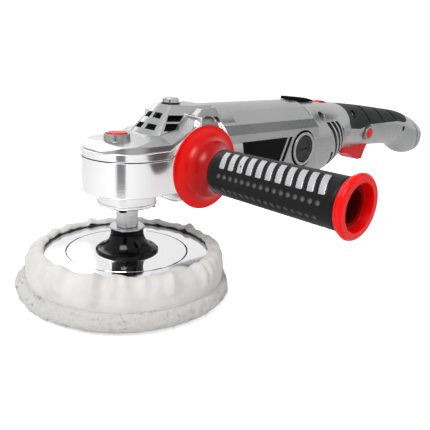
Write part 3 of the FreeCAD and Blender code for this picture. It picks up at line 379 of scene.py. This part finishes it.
def paintHandleShade(material, values):
    # painted shade: the red is darkened towards the middle of the flared guard and inside the open end, where
    # shade falls
    tree = material.node_tree
    shader = tree.nodes["Principled BSDF"]
    split = tree.nodes.new("ShaderNodeSeparateXYZ")
    tree.links.new(objectPoints(tree), split.inputs[0])
    sides = [mathNode(tree, "SUBTRACT", split.outputs[axis], centre) for axis, centre in
             (("X", values["axis"][0]), ("Z", values["axis"][1]))]
    squares = [mathNode(tree, "MULTIPLY", side, side) for side in sides]
    radius = mathNode(tree, "SQRT", mathNode(tree, "ADD", *squares), 0)
    hole = mapRange(tree, radius, *values["hole"])
    outer = mathNode(tree, "LESS_THAN", split.outputs["Y"], values["guardTo"])
    guard = mathNode(tree, "MAXIMUM", mapRange(tree, radius, *values["guard"]), outer)
    # painted shade: the red is mixed towards dark red inside the hole and across the guard
    paintedShade = tree.nodes.new("ShaderNodeMix")
    paintedShade.data_type = "RGBA"
    tree.links.new(mathNode(tree, "MULTIPLY", hole, guard), paintedShade.inputs["Factor"])
    paintedShade.inputs["A"].default_value = (*values["dark"], 1)
    tree.links.new(shader.inputs["Base Color"].links[0].from_socket, paintedShade.inputs["B"])
    tree.links.new(paintedShade.outputs["Result"], shader.inputs["Base Color"])


# painted shade on the side handle's red guard and open end
paintHandleShade(materials["handle_red"], {
    "axis": (0.0353, 0.1144), "hole": (0.0125, 0.0165, 0.12, 1), "guard": (0.0165, 0.0330, 0.35, 1),
    "guardTo": -0.1, "dark": (0.10, 0.001, 0.001)})

slotOf = {row["node"]: row["material_slot"] for row in frame["record"]["subparts"]}
for name, node in nodes.items():
    for place in node.material_slots:
        place.material = materials[slotOf[name]]
print("materials made:", len(materials))


def ringGrid(name, columns, rows, shape):
    # a closed ring of quads: shape gives the point at each turn and step
    bpy.ops.mesh.primitive_grid_add(x_subdivisions=columns, y_subdivisions=rows, size=1)
    piece = newest(name)
    for corner in piece.data.vertices:
        turn, step = corner.co.x + 0.5, corner.co.y + 0.5
        corner.co = shape(turn * 2 * math.pi, step)
    pick(piece)
    bpy.ops.object.mode_set(mode="EDIT")
    bpy.ops.mesh.select_all(action="SELECT")
    bpy.ops.mesh.remove_doubles(threshold=0.000002)
    bpy.ops.mesh.normals_make_consistent(inside=False)
    bpy.ops.object.mode_set(mode="OBJECT")
    return piece


def along(profile, step):
    # the point a share of the way along a line of (radius, height) points
    lengths = [math.dist(a, b) for a, b in zip(profile, profile[1:])]
    left = step * sum(lengths)
    for (a, b), length in zip(zip(profile, profile[1:]), lengths):
        if left <= length:
            break
        left -= length
    share = min(1, left / length)
    return [a[i] + (b[i] - a[i]) * share for i in (0, 1)]


def rounded(profile, passes=3):
    # cuts the corners off a line of points, again and again
    for _ in range(passes):
        cut = [profile[0]]
        for a, b in zip(profile, profile[1:]):
            for share in (0.25, 0.75):
                cut.append(tuple(a[i] * (1 - share) + b[i] * share for i in (0, 1)))
        profile = cut + [profile[-1]]
    return profile


# bonnet: a gathered cotton skirt over a ring of fleece

skirtValues = {
    "profile": [(0.0838, 0.0135), (0.0850, 0.0180), (0.0846, 0.0250), (0.0830, 0.0320), (0.0795, 0.0385),
                (0.0755, 0.0406), (0.0718, 0.0404), (0.0700, 0.0392), (0.0696, 0.0376), (0.0712, 0.0368)],
    "columns": 420, "rows": 34, "seed": 7, "cap": 0.0022, "thickness": 0.0006,
    "folds": 42, "foldDepth": 0.0050, "foldJitter": 1.1, "foldWidth": (0.022, 0.035), "foldLean": 0.28,
    "deepSide": (0.8, 1.35), "deepShare": 1.35, "shallowShare": 0.6}
fleeceValues = {
    "profile": [(0.0, 0.0006), (0.030, 0.0004), (0.072, 0.0004), (0.0850, 0.0012), (0.0905, 0.0045),
                (0.0918, 0.0088), (0.0905, 0.0135), (0.0872, 0.0166), (0.0835, 0.0172), (0.0790, 0.0166)],
    "columns": 520, "rows": 90, "clumps": 0.0016, "seed": 11,
    "tufts": 11000, "tuftLength": 0.0030, "tuftWidth": (0.00022, 0.0002), "tuftBand": (0.80, 0.17)}


def skirtFolds(values):
    # where each fold is, how deep and wide it is, how it leans and how far down it starts
    folds = []
    for number in range(values["folds"]):
        place = noise.cell_vector(Vector((number, values["seed"], 0)))
        size = noise.cell_vector(Vector((values["seed"], number, 5)))
        turn = (number + (place.x - 0.5) * values["foldJitter"]) / values["folds"] * 2 * math.pi
        first, last = values["deepSide"]
        share = values["deepShare"] if math.pi * first < turn < math.pi * last else values["shallowShare"]
        depth = values["foldDepth"] * share * (0.25 + 1.1 * size.x ** 2)
        narrow, extra = values["foldWidth"]
        lean = (place.y - 0.5) * values["foldLean"]
        folds.append((turn, depth, narrow + extra * size.y, lean, size.z))
    return folds


def buildSkirt(values):
    folds = skirtFolds(values)
    line = rounded(values["profile"], 2)

    def shape(turn, step):
        radius, height = along(line, step)
        push = 0
        for centre, depth, width, lean, reach in folds:
            away = (turn - centre - lean * (1 - step) + math.pi) % (2 * math.pi) - math.pi
            if abs(away) < width * 3:
                start = 0.25 + 0.35 * reach
                grows = min(1, max(0, (step - start * 0.6) / 0.35))
                if step >= 0.75:
                    grows = max(0.35, (1.25 - step) * 2)    # the hem draws the folds in again
                push += depth * grows * math.exp(-(away / width) ** 2)
        fine = noise.noise(Vector((math.cos(turn) * 9, math.sin(turn) * 9, step * 4))) * 0.0009
        tight = math.sin(turn * 92 + 2 * math.sin(turn * 7)) * 0.00035 * max(0, step - 0.55)
        push += fine * min(1, step * 3) + tight + spread(turn) * 0.45 * max(0, 1 - step * 1.6)
        lift = min(1, max(0, (step - 0.35) / 0.35))
        return Vector(((radius + push * (1 - 0.6 * lift)) * math.cos(turn),
                       (radius + push * (1 - 0.6 * lift)) * math.sin(turn), height + push * 0.75 * lift))

    skirt = ringGrid("bonnetSkirt", values["columns"], values["rows"], shape)
    relaxCloth(skirt, values["cap"])
    thick = skirt.modifiers.new("thick", "SOLIDIFY")
    thick.thickness = values["thickness"]
    thick.offset = -1
    applyAll(skirt)
    bpy.ops.object.shade_smooth()
    return dress(skirt, "spindle", materials["bonnet_fabric"], "bonnet_fabric")


def relaxCloth(piece, cap):
    # the folds settle under a little pressure; both edges are held
    start = [corner.co.copy() for corner in piece.data.vertices]
    edges = piece.vertex_groups.new(name="held")
    loose = {}
    for edge in piece.data.polygons:
        for key in edge.edge_keys:
            loose[key] = loose.get(key, 0) + 1
    edges.add(sorted({i for key, uses in loose.items() if uses == 1 for i in key}), 1, "REPLACE")
    pick(piece)
    cloth = piece.modifiers.new("cloth", "CLOTH")
    settings = cloth.settings
    settings.quality = 6
    settings.mass = 0.2
    settings.tension_stiffness = settings.compression_stiffness = 12
    settings.bending_stiffness = 0.4
    settings.use_pressure = True
    settings.uniform_pressure_force = 3
    settings.effector_weights.gravity = 0
    settings.vertex_group_mass = edges.name
    cloth.point_cache.frame_start, cloth.point_cache.frame_end = 1, 14
    for number in range(1, 15):
        bpy.context.scene.frame_set(number)
    bpy.ops.object.modifier_apply(modifier=cloth.name)
    bpy.context.scene.frame_set(1)
    for corner, was in zip(piece.data.vertices, start):
        move = corner.co - was
        if move.length > cap:
            corner.co = was + move * (cap / move.length)


def spread(turn):
    # the pad isn't quite round: it is pushed out on one side
    place = Vector((math.cos(turn) * 2, math.sin(turn) * 2, 3))
    return 0.0028 * math.cos(turn - 2.5) + 0.0026 * noise.noise(place)


def fleeceNoise(point):
    clumps = abs(noise.noise(point * 160)) + 0.5 * abs(noise.noise(point * 420))
    return clumps - 0.35


def buildFleece(values):
    line = rounded(values["profile"], 2)

    def shape(turn, step):
        radius, height = along(line, step)
        point = Vector((radius * math.cos(turn), radius * math.sin(turn), height))
        out = (fleeceNoise(point) * values["clumps"] + spread(turn)) * min(1, max(0, radius - 0.06) / 0.02)
        rise = fleeceNoise(point + Vector((1, 1, 1))) * values["clumps"] * 0.6
        point.z = max(0.0001, height + rise)
        return point + Vector((math.cos(turn), math.sin(turn), 0)) * out

    fleece = ringGrid("bonnetFleece", values["columns"], values["rows"], shape)
    pick(fleece)
    bpy.ops.object.shade_smooth()
    return dress(fleece, "spindle", materials["fleece"], "fleece", "bonnet")


def buildTufts(values):
    # thousands of short tapered tufts, each a bent three-sided spike
    line = rounded(values["profile"], 2)
    corners, faces = [], []
    for number in range(values["tufts"]):
        first = noise.cell_vector(Vector((number, 1, values["seed"])))
        second = noise.cell_vector(Vector((3, number, values["seed"])))
        third = noise.cell_vector(Vector((number, 9, number * 0.5)))
        turn = first.x * 2 * math.pi
        step = values["tuftBand"][0] + values["tuftBand"][1] * first.y
        radius, height = along(line, step)
        ahead = along(line, min(1, step + 0.01))
        slope = math.atan2(ahead[1] - height, ahead[0] - radius) - math.pi / 2
        flat = math.cos(slope)
        outward = Vector((flat * math.cos(turn), flat * math.sin(turn), math.sin(slope)))
        side = Vector((-math.sin(turn), math.cos(turn), 0))
        other = outward.cross(side)
        reach = radius + spread(turn)
        root = Vector((reach * math.cos(turn), reach * math.sin(turn), height)) - outward * 0.0006
        length = values["tuftLength"] * (0.55 + 0.6 * second.x)
        lean = side * (second.y - 0.5) * 1.5 + other * (second.z - 0.5) * 1.5
        half = root + outward * length * 0.55 + lean * length * 0.25
        curl = lean + Vector((third.x - 0.5, third.y - 0.5, third.z - 0.7))
        tip = root + outward * length * 0.85 + curl * length * 0.6
        wide = values["tuftWidth"][0] + values["tuftWidth"][1] * third.y
        base = len(corners)
        for middle, share in ((root, 1), (half, 0.75)):
            for edge in range(3):
                angle = edge * 2.0944    # a third of a turn
                corners.append(middle + (side * math.cos(angle) + other * math.sin(angle)) * wide * share)
        corners.append(tip)
        for k in range(3):
            n = (k + 1) % 3
            faces.append((base + k, base + n, base + 3 + n, base + 3 + k))
            faces.append((base + 3 + k, base + 3 + n, base + 6))
        faces.append((base + 2, base + 1, base))
    for corner in corners:
        corner.z = max(0.0001, corner.z)
    tufts = addMesh("fleeceTufts", corners, faces=faces)
    bpy.ops.object.mode_set(mode="EDIT")
    bpy.ops.mesh.select_all(action="SELECT")
    bpy.ops.mesh.normals_make_consistent(inside=False)
    bpy.ops.object.mode_set(mode="OBJECT")
    bpy.ops.object.shade_smooth()
    return dress(tufts, "spindle", materials["fleece"], "fleece")


bonnetSkirt = buildSkirt(skirtValues)
bonnetFleece = buildFleece(fleeceValues)
buildTufts(fleeceValues)
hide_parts("bonnet")
print("bonnet made")


# side handle sleeve: moulded rubber with dimples and raised slanted bars

sleeveValues = {
    "axis": (0.0353, 0.1144), "nearRadius": 0.01722, "farRadius": 0.01788, "columns": 200, "rows": 190,
    "dimples": 16, "dimpleRadius": 0.0015, "dimpleDepth": 0.0013, "dimpleRows": 8, "firstRow": 5,
    "rowStep": 38, "lastRow": -262, "margin": 0.08, "bars": 11, "barHeight": 0.0007, "barCentre": 48,
    "barReach": 26, "barLean": 0.22, "barMargin": 0.07, "thickness": 0.0022}


def buildSleeve(values):
    # turns are counted in degrees from the side that faces away from the motor, upwards
    low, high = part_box("side_handle_sleeve")
    near, length = high.y, high.y - low.y
    pitch = length * (1 - 2 * values["barMargin"]) / values["bars"]
    spacing = length * (1 - 2 * values["margin"]) / values["dimples"]

    def bars(angle, step):
        across = (angle - values["barCentre"]) / values["barReach"]
        if abs(across) > 1 or not values["barMargin"] < step < 1 - values["barMargin"]:
            return 0
        place = (step - values["barMargin"]) * length / pitch + across * values["barLean"]
        edge = min((0.34 - abs(place % 1 - 0.5)) * pitch, (1 - abs(across)) * 0.0075)
        return min(1, max(0, edge / 0.0005))

    def dimple(angle, step):
        deep = 0
        for row in range(values["dimpleRows"]):
            centre = values["firstRow"] - row * values["rowStep"]
            away = (angle - centre + 180) % 360 - 180
            if abs(away) > 12 or centre < values["lastRow"]:
                continue
            odd = row % 2
            place = ((step - values["margin"]) * length - odd * spacing / 2) / spacing
            if not 0 <= place <= values["dimples"] - odd:
                continue
            aside = math.radians(away) * values["nearRadius"]
            distance = math.hypot((place % 1 - 0.5) * spacing, aside) / values["dimpleRadius"]
            deep = max(deep, math.sqrt(max(0, 1 - (distance / 1.25) ** 2)))
        return deep

    def shape(turn, step):
        angle = math.degrees(turn) - 180
        radius = values["nearRadius"] + (values["farRadius"] - values["nearRadius"]) * step
        if step < 0.02 or step > 0.98:
            radius -= 0.0004
        radius += bars(angle, step) * values["barHeight"] - dimple(angle, step) * values["dimpleDepth"]
        return Vector((values["axis"][0] - radius * math.cos(math.radians(angle)), near - step * length,
                       values["axis"][1] + radius * math.sin(math.radians(angle))))

    sleeve = ringGrid("gripSleeve", values["columns"], values["rows"], shape)
    tops = sleeve.data.attributes.new("raisedTops", "FLOAT", "POINT")
    floors = sleeve.data.attributes.new("dimpleFloors", "FLOAT", "POINT")
    for corner in sleeve.data.vertices:
        point = corner.co
        angle = math.degrees(math.atan2(point.z - values["axis"][1], values["axis"][0] - point.x))
        step = (near - point.y) / length
        tops.data[corner.index].value = bars(angle, step)
        floors.data[corner.index].value = dimple(angle, step)
    thick = sleeve.modifiers.new("thick", "SOLIDIFY")
    thick.thickness = values["thickness"]
    thick.offset = -1
    applyAll(sleeve)
    bpy.ops.object.shade_smooth()
    return dress(sleeve, "housing", sleeveRubber(), "grip_rubber", "side_handle_sleeve")


def sleeveRubber():
    # black rubber, with silvery paint worn thin on the raised tops, and a painted highlight that makes the
    # dimples paler
    material, tree, shader = newMaterial("sleeveRubber")
    box = placeGroup(tree, grain, Grain_Scale=1800, Roughness=0.42, Spread=0.08)
    read = tree.nodes.new("ShaderNodeAttribute")
    read.attribute_name = "raisedTops"
    points = objectPoints(tree)
    wear = noiseNode(tree, points, 260, 4)
    painted = mathNode(tree, "MULTIPLY", mathNode(tree, "GREATER_THAN", read.outputs["Fac"], 0.8),
                       mathNode(tree, "GREATER_THAN", wear, 0.28))
    rubber = mixColours(tree, box.outputs["Drift"], (0.007, 0.007, 0.008), (0.015, 0.015, 0.016))
    silver = mixColours(tree, painted, (0.02, 0.02, 0.02), (0.5, 0.5, 0.51))
    # painted highlight: the dimple floors are mixed towards pale grey
    dimpleGlintRead = tree.nodes.new("ShaderNodeAttribute")
    dimpleGlintRead.attribute_name = "dimpleFloors"
    paintedDimpleGlint = tree.nodes.new("ShaderNodeMix")
    paintedDimpleGlint.data_type = "RGBA"
    tree.links.new(mathNode(tree, "MULTIPLY", dimpleGlintRead.outputs["Fac"], 0.6), paintedDimpleGlint.inputs["Factor"])
    tree.links.new(rubber, paintedDimpleGlint.inputs["A"])
    paintedDimpleGlint.inputs["B"].default_value = (0.26, 0.26, 0.26, 1)
    choose = tree.nodes.new("ShaderNodeMix")
    choose.data_type = "RGBA"
    tree.links.new(painted, choose.inputs["Factor"])
    tree.links.new(paintedDimpleGlint.outputs["Result"], choose.inputs["A"])
    tree.links.new(silver, choose.inputs["B"])
    tree.links.new(choose.outputs["Result"], shader.inputs["Base Color"])
    tree.links.new(box.outputs["Roughness"], shader.inputs["Roughness"])
    tree.links.new(mathNode(tree, "MULTIPLY", painted, 0.6), shader.inputs["Metallic"])
    shader.inputs["Specular IOR Level"].default_value = 0.25
    tree.links.new(bumpFrom(tree, box.outputs["Height"], 0.00006), shader.inputs["Normal"])
    return material


buildSleeve(sleeveValues)
nodes["side_handle_core"].visible_glossy = False    # keeps the red guard out of the case's reflections
print("side handle sleeve made")


# hood: a dark screen behind the windows, standing in for the shade inside the hood
# each level: height, x at the ridge and in the middle, half widths at the front and back

screenValues = {
    "levels": ((0.1345, 0.0160, 0.0116, 0.0196, 0.0320), (0.1535, 0.0352, 0.0327, 0.0084, 0.0165)),
    "back": 0.066, "steps": 5}


def buildScreen(values):
    points = []
    for height, ridge, middle, front, back in values["levels"]:
        for number in range(-values["steps"], values["steps"] + 1):
            share = number / values["steps"]
            points.append((ridge + (middle - ridge) * (1 - share * share), front * share, height))
        points += [(values["back"], back, height), (values["back"], -back, height)]
    # painted shade: a near-black solid fills the space seen through the windows
    screen = addMesh("hoodShadeScreen", points)
    bpy.ops.object.mode_set(mode="EDIT")
    bpy.ops.mesh.select_all(action="SELECT")
    bpy.ops.mesh.convex_hull()
    bpy.ops.mesh.tris_convert_to_quads()
    bpy.ops.mesh.normals_make_consistent(inside=False)
    bpy.ops.object.mode_set(mode="OBJECT")
    return dress(screen, "housing", materials["gasket"], "gasket")


buildScreen(screenValues)
print("hood screen made")


# motor: a raised ring in a black groove round each brush cap, and a black stripe beside each panel

ringValues = {
    "centre": (0.183, 0.1138), "steps": 72,
    "grey": [(0.0134, 0.0412), (0.0134, 0.0429), (0.0140, 0.0435), (0.0158, 0.0435), (0.0164, 0.0429),
             (0.0164, 0.0412)],
    "black": [(0.0128, 0.0412), (0.0128, 0.04175), (0.0182, 0.04175), (0.0182, 0.0412)]}
stripeValues = {"low": 0.1045, "high": 0.1270, "start": 0.1505, "width": 0.0036, "lean": 0.0100,
                "out": 0.0414, "thickness": 0.0012, "bevel": 0.00025}


def spunRing(name, profile, side, values):
    # the profile, a loop of (radius, distance out) points, is spun about a line across the tool
    x, z = values["centre"]
    points = [(x, out * side, z + radius) for radius, out in profile]
    edges = [(i, (i + 1) % len(points)) for i in range(len(points))]
    ring = addMesh(name, points, edges)
    bpy.ops.object.mode_set(mode="EDIT")
    bpy.ops.mesh.select_all(action="SELECT")
    bpy.ops.mesh.spin(steps=values["steps"], angle=2 * math.pi, center=(x, 0, z), axis=(0, 1, 0))
    bpy.ops.mesh.select_all(action="SELECT")
    bpy.ops.mesh.remove_doubles(threshold=0.00001)
    bpy.ops.mesh.normals_make_consistent(inside=False)
    bpy.ops.object.mode_set(mode="OBJECT")
    return smooth(ring, 40)


def buildStripe(name, side, values):
    # a slanted bar, bevelled along its edges
    tall = values["high"] - values["low"]
    middle = (values["start"] + values["width"] / 2, side * values["out"], values["low"] + tall / 2)
    bpy.ops.mesh.primitive_cube_add(size=1, location=middle)
    bar = newest(name)
    bar.scale = (values["width"], values["thickness"], tall)
    settle(bar)
    for corner in bar.data.vertices:
        corner.co.x += values["lean"] * (corner.co.z - values["low"]) / tall
    bevel = bar.modifiers.new("edges", "BEVEL")
    bevel.width = values["bevel"]
    bevel.segments = 2
    applyAll(bar)
    return smooth(bar)


for side, where in ((-1, "Left"), (1, "Right")):
    dress(spunRing("capRing" + where, ringValues["grey"], side, ringValues), "housing",
          materials["grey_plastic"], "grey_plastic")
    dress(spunRing("capGroove" + where, ringValues["black"], side, ringValues), "housing",
          materials["gasket"], "gasket")
    dress(buildStripe("panelStripe" + where, side, stripeValues), "housing",
          materials["gloss_black"], "gloss_black")
print("motor trim made")


# handle: a black lining stops light going straight through the vents

liningValues = {"front": 0.227, "back": 0.262, "half": 0.006, "top": 0.1205, "lowFront": 0.079,
                "lowBack": 0.096}


def buildLining(values):
    bpy.ops.mesh.primitive_cube_add(size=1, location=(0, 0, 0))
    lining = newest("ventLining")
    for corner in lining.data.vertices:
        end, low = ("front", "lowFront") if corner.co.x < 0 else ("back", "lowBack")
        height = "top" if corner.co.z > 0 else low
        corner.co = (values[end], math.copysign(values["half"], corner.co.y), values[height])
    return dress(lining, "housing", materials["gasket"], "gasket")


buildLining(liningValues)
print("vent lining made")


# handle rubber: slanted finger grooves pressed into the grip

rubberValues = {"grooves": (0.326, 0.360, 0.394), "top": 0.146, "lean": 0.62, "half": 0.0021,
                "depth": 0.0011, "cuts": 3, "longest": 0.0016, "fadeFrom": 0.1265, "fadeTo": 0.1315}


def buildRubber(values):
    rubber = nodes["handle_rubber"].copy()
    rubber.data = nodes["handle_rubber"].data.copy()
    for key in list(rubber.keys()):
        del rubber[key]
    rubber.parent = None
    rubber.name = rubber.data.name = "handleGrip"
    bpy.context.scene.collection.objects.link(rubber)
    pick(rubber)
    bpy.ops.object.mode_set(mode="EDIT")
    bpy.ops.mesh.select_all(action="SELECT")
    bpy.ops.mesh.remove_doubles(threshold=0.00001)
    for _ in range(values["cuts"]):
        bpy.ops.mesh.select_all(action="DESELECT")
        mesh = bmesh.from_edit_mesh(rubber.data)
        for edge in mesh.edges:
            edge.select_set(edge.calc_length() > values["longest"])
        bpy.ops.mesh.subdivide(number_cuts=1)
    bpy.ops.mesh.select_all(action="SELECT")
    bpy.ops.mesh.normals_make_consistent(inside=False)
    bpy.ops.object.mode_set(mode="OBJECT")
    outward = [corner.normal.copy() for corner in rubber.data.vertices]
    for corner, normal in zip(rubber.data.vertices, outward):
        point = corner.co
        facing = normal.y * point.y / 0.02 + normal.z
        if facing < 0.2:
            continue
        deep = 0
        for start in values["grooves"]:
            away = abs(point.x - start - (values["top"] - point.z) * values["lean"])
            deep = max(deep, max(0, 1 - (away / values["half"]) ** 2))
        fade = min(1, max(0, (point.z - values["fadeFrom"]) / (values["fadeTo"] - values["fadeFrom"])))
        corner.co = point - normal * deep * fade * values["depth"]
    smooth(rubber, 40)
    return dress(rubber, "housing", materials["grip_rubber"], "grip_rubber", "handle_rubber")


handleGrip = buildRubber(rubberValues)
print("handle grip made:", len(handleGrip.data.polygons), "faces")


# studio
# each light: power, size, place and target; each card: size, place and target

studio = {
    "floorSize": 60, "floorGlow": 0.5, "worldStrength": 0.44, "worldSeen": 1.05, "mirrored": 0.3,
    "lights": {"keyLight": (11, 0.7, (-0.75, -0.35, 1.2), (0.1, 0, 0.05)),
               "fillLight": (1.6, 1.0, (0.9, -1.3, 0.8), (0.25, 0, 0.1)),
               "rimLight": (3, 0.7, (0.4, 1.2, 0.9), (0.2, 0, 0.1))},
    "cards": {"streakCard": ((0.15, 0.34), (-0.30, -0.25, 0.12), (0, 0, 0.12)),
              "facetCard": ((0.45, 0.7), (1.25, -0.33, 1.0), (0.14, 0, 0.14)),
              "hubCard": ((0.5, 0.16), (0.05, 0.75, 0.12), (0, 0, 0.06))}}


def addLight(name, power, size, location, target):
    bpy.ops.object.light_add(type="AREA", location=location)
    lamp = bpy.context.view_layer.objects.active
    lamp.name = name
    lamp.data.energy = power
    lamp.data.size = size
    lamp.rotation_euler = (Vector(target) - Vector(location)).to_track_quat("-Z", "Y").to_euler()
    return lamp


def addCard(name, size, location, target, material):
    # a dark card, seen only in reflections, puts a dark streak on the metal
    bpy.ops.mesh.primitive_plane_add(size=1, location=(0, 0, 0))
    card = newest(name)
    card.scale = (size[0], size[1], 1)
    card.location = location
    card.rotation_euler = (Vector(target) - Vector(location)).to_track_quat("-Z", "Y").to_euler()
    settle(card)
    card.data.materials.append(material)
    card.visible_camera = False
    card.visible_shadow = False
    card.visible_diffuse = False
    card.visible_transmission = False


def buildStudio(values):
    deselectAll()
    bpy.ops.mesh.primitive_plane_add(size=values["floorSize"], location=(0, 0, -0.0004))
    floor = newest("floor")
    pale, tree, shader = newMaterial("paleFloor")
    shader.inputs["Base Color"].default_value = (0.9, 0.9, 0.9, 1)
    shader.inputs["Roughness"].default_value = 0.8
    shader.inputs["Emission Color"].default_value = (1, 1, 1, 1)
    path = tree.nodes.new("ShaderNodeLightPath")    # the floor looks white without lighting the object
    tree.links.new(mathNode(tree, "MULTIPLY", path.outputs["Is Camera Ray"], values["floorGlow"]),
                   shader.inputs["Emission Strength"])
    floor.data.materials.append(pale)
    world = bpy.data.worlds.new("studioWorld")
    bpy.context.scene.world = world
    world.use_nodes = True
    sky = world.node_tree
    sky.nodes["Background"].inputs["Color"].default_value = (1, 1, 1, 1)
    path = sky.nodes.new("ShaderNodeLightPath")
    brighter = values["worldSeen"] - values["worldStrength"]
    seen = mathNode(sky, "MULTIPLY", path.outputs["Is Camera Ray"], brighter)
    mirrored = mathNode(sky, "MULTIPLY", path.outputs["Is Glossy Ray"], values["mirrored"])
    strength = mathNode(sky, "ADD", mathNode(sky, "ADD", seen, mirrored), values["worldStrength"])
    sky.links.new(strength, sky.nodes["Background"].inputs["Strength"])
    for name, row in values["lights"].items():
        addLight(name, *row)
    black, tree, shader = newMaterial("cardBlack")
    shader.inputs["Base Color"].default_value = (0.004, 0.004, 0.004, 1)
    shader.inputs["Roughness"].default_value = 1
    for name, row in values["cards"].items():
        addCard(name, *row, black)
    bpy.context.scene.view_settings.view_transform = "Standard"
    bpy.context.scene.view_settings.look = "Medium High Contrast"


buildStudio(studio)

view = {"location": (-0.25722, -0.35902, 0.20311), "azimuth": -43.225, "elevation": 19.110, "roll": 2.487,
        "lens": 45.0, "shift": (0.0467, 0.0464)}


def buildCamera(values):
    a, e, r = (math.radians(values[key]) for key in ("azimuth", "elevation", "roll"))
    back = Vector((math.sin(a) * math.cos(e), -math.cos(a) * math.cos(e), math.sin(e)))
    right = Vector((math.cos(a), math.sin(a), 0))
    up = back.cross(right)
    turnedRight = right * math.cos(r) + up * math.sin(r)
    turnedUp = up * math.cos(r) - right * math.sin(r)
    bpy.ops.object.camera_add(location=values["location"])
    camera = bpy.context.view_layer.objects.active
    camera.matrix_world = Matrix.Translation(values["location"]) @ Matrix(
        (turnedRight, turnedUp, back)).transposed().to_4x4()
    camera.data.lens = values["lens"]
    camera.data.shift_x, camera.data.shift_y = values["shift"]
    camera.data.clip_start = 0.01
    bpy.context.scene.camera = camera


buildCamera(view)
print("studio and camera placed")
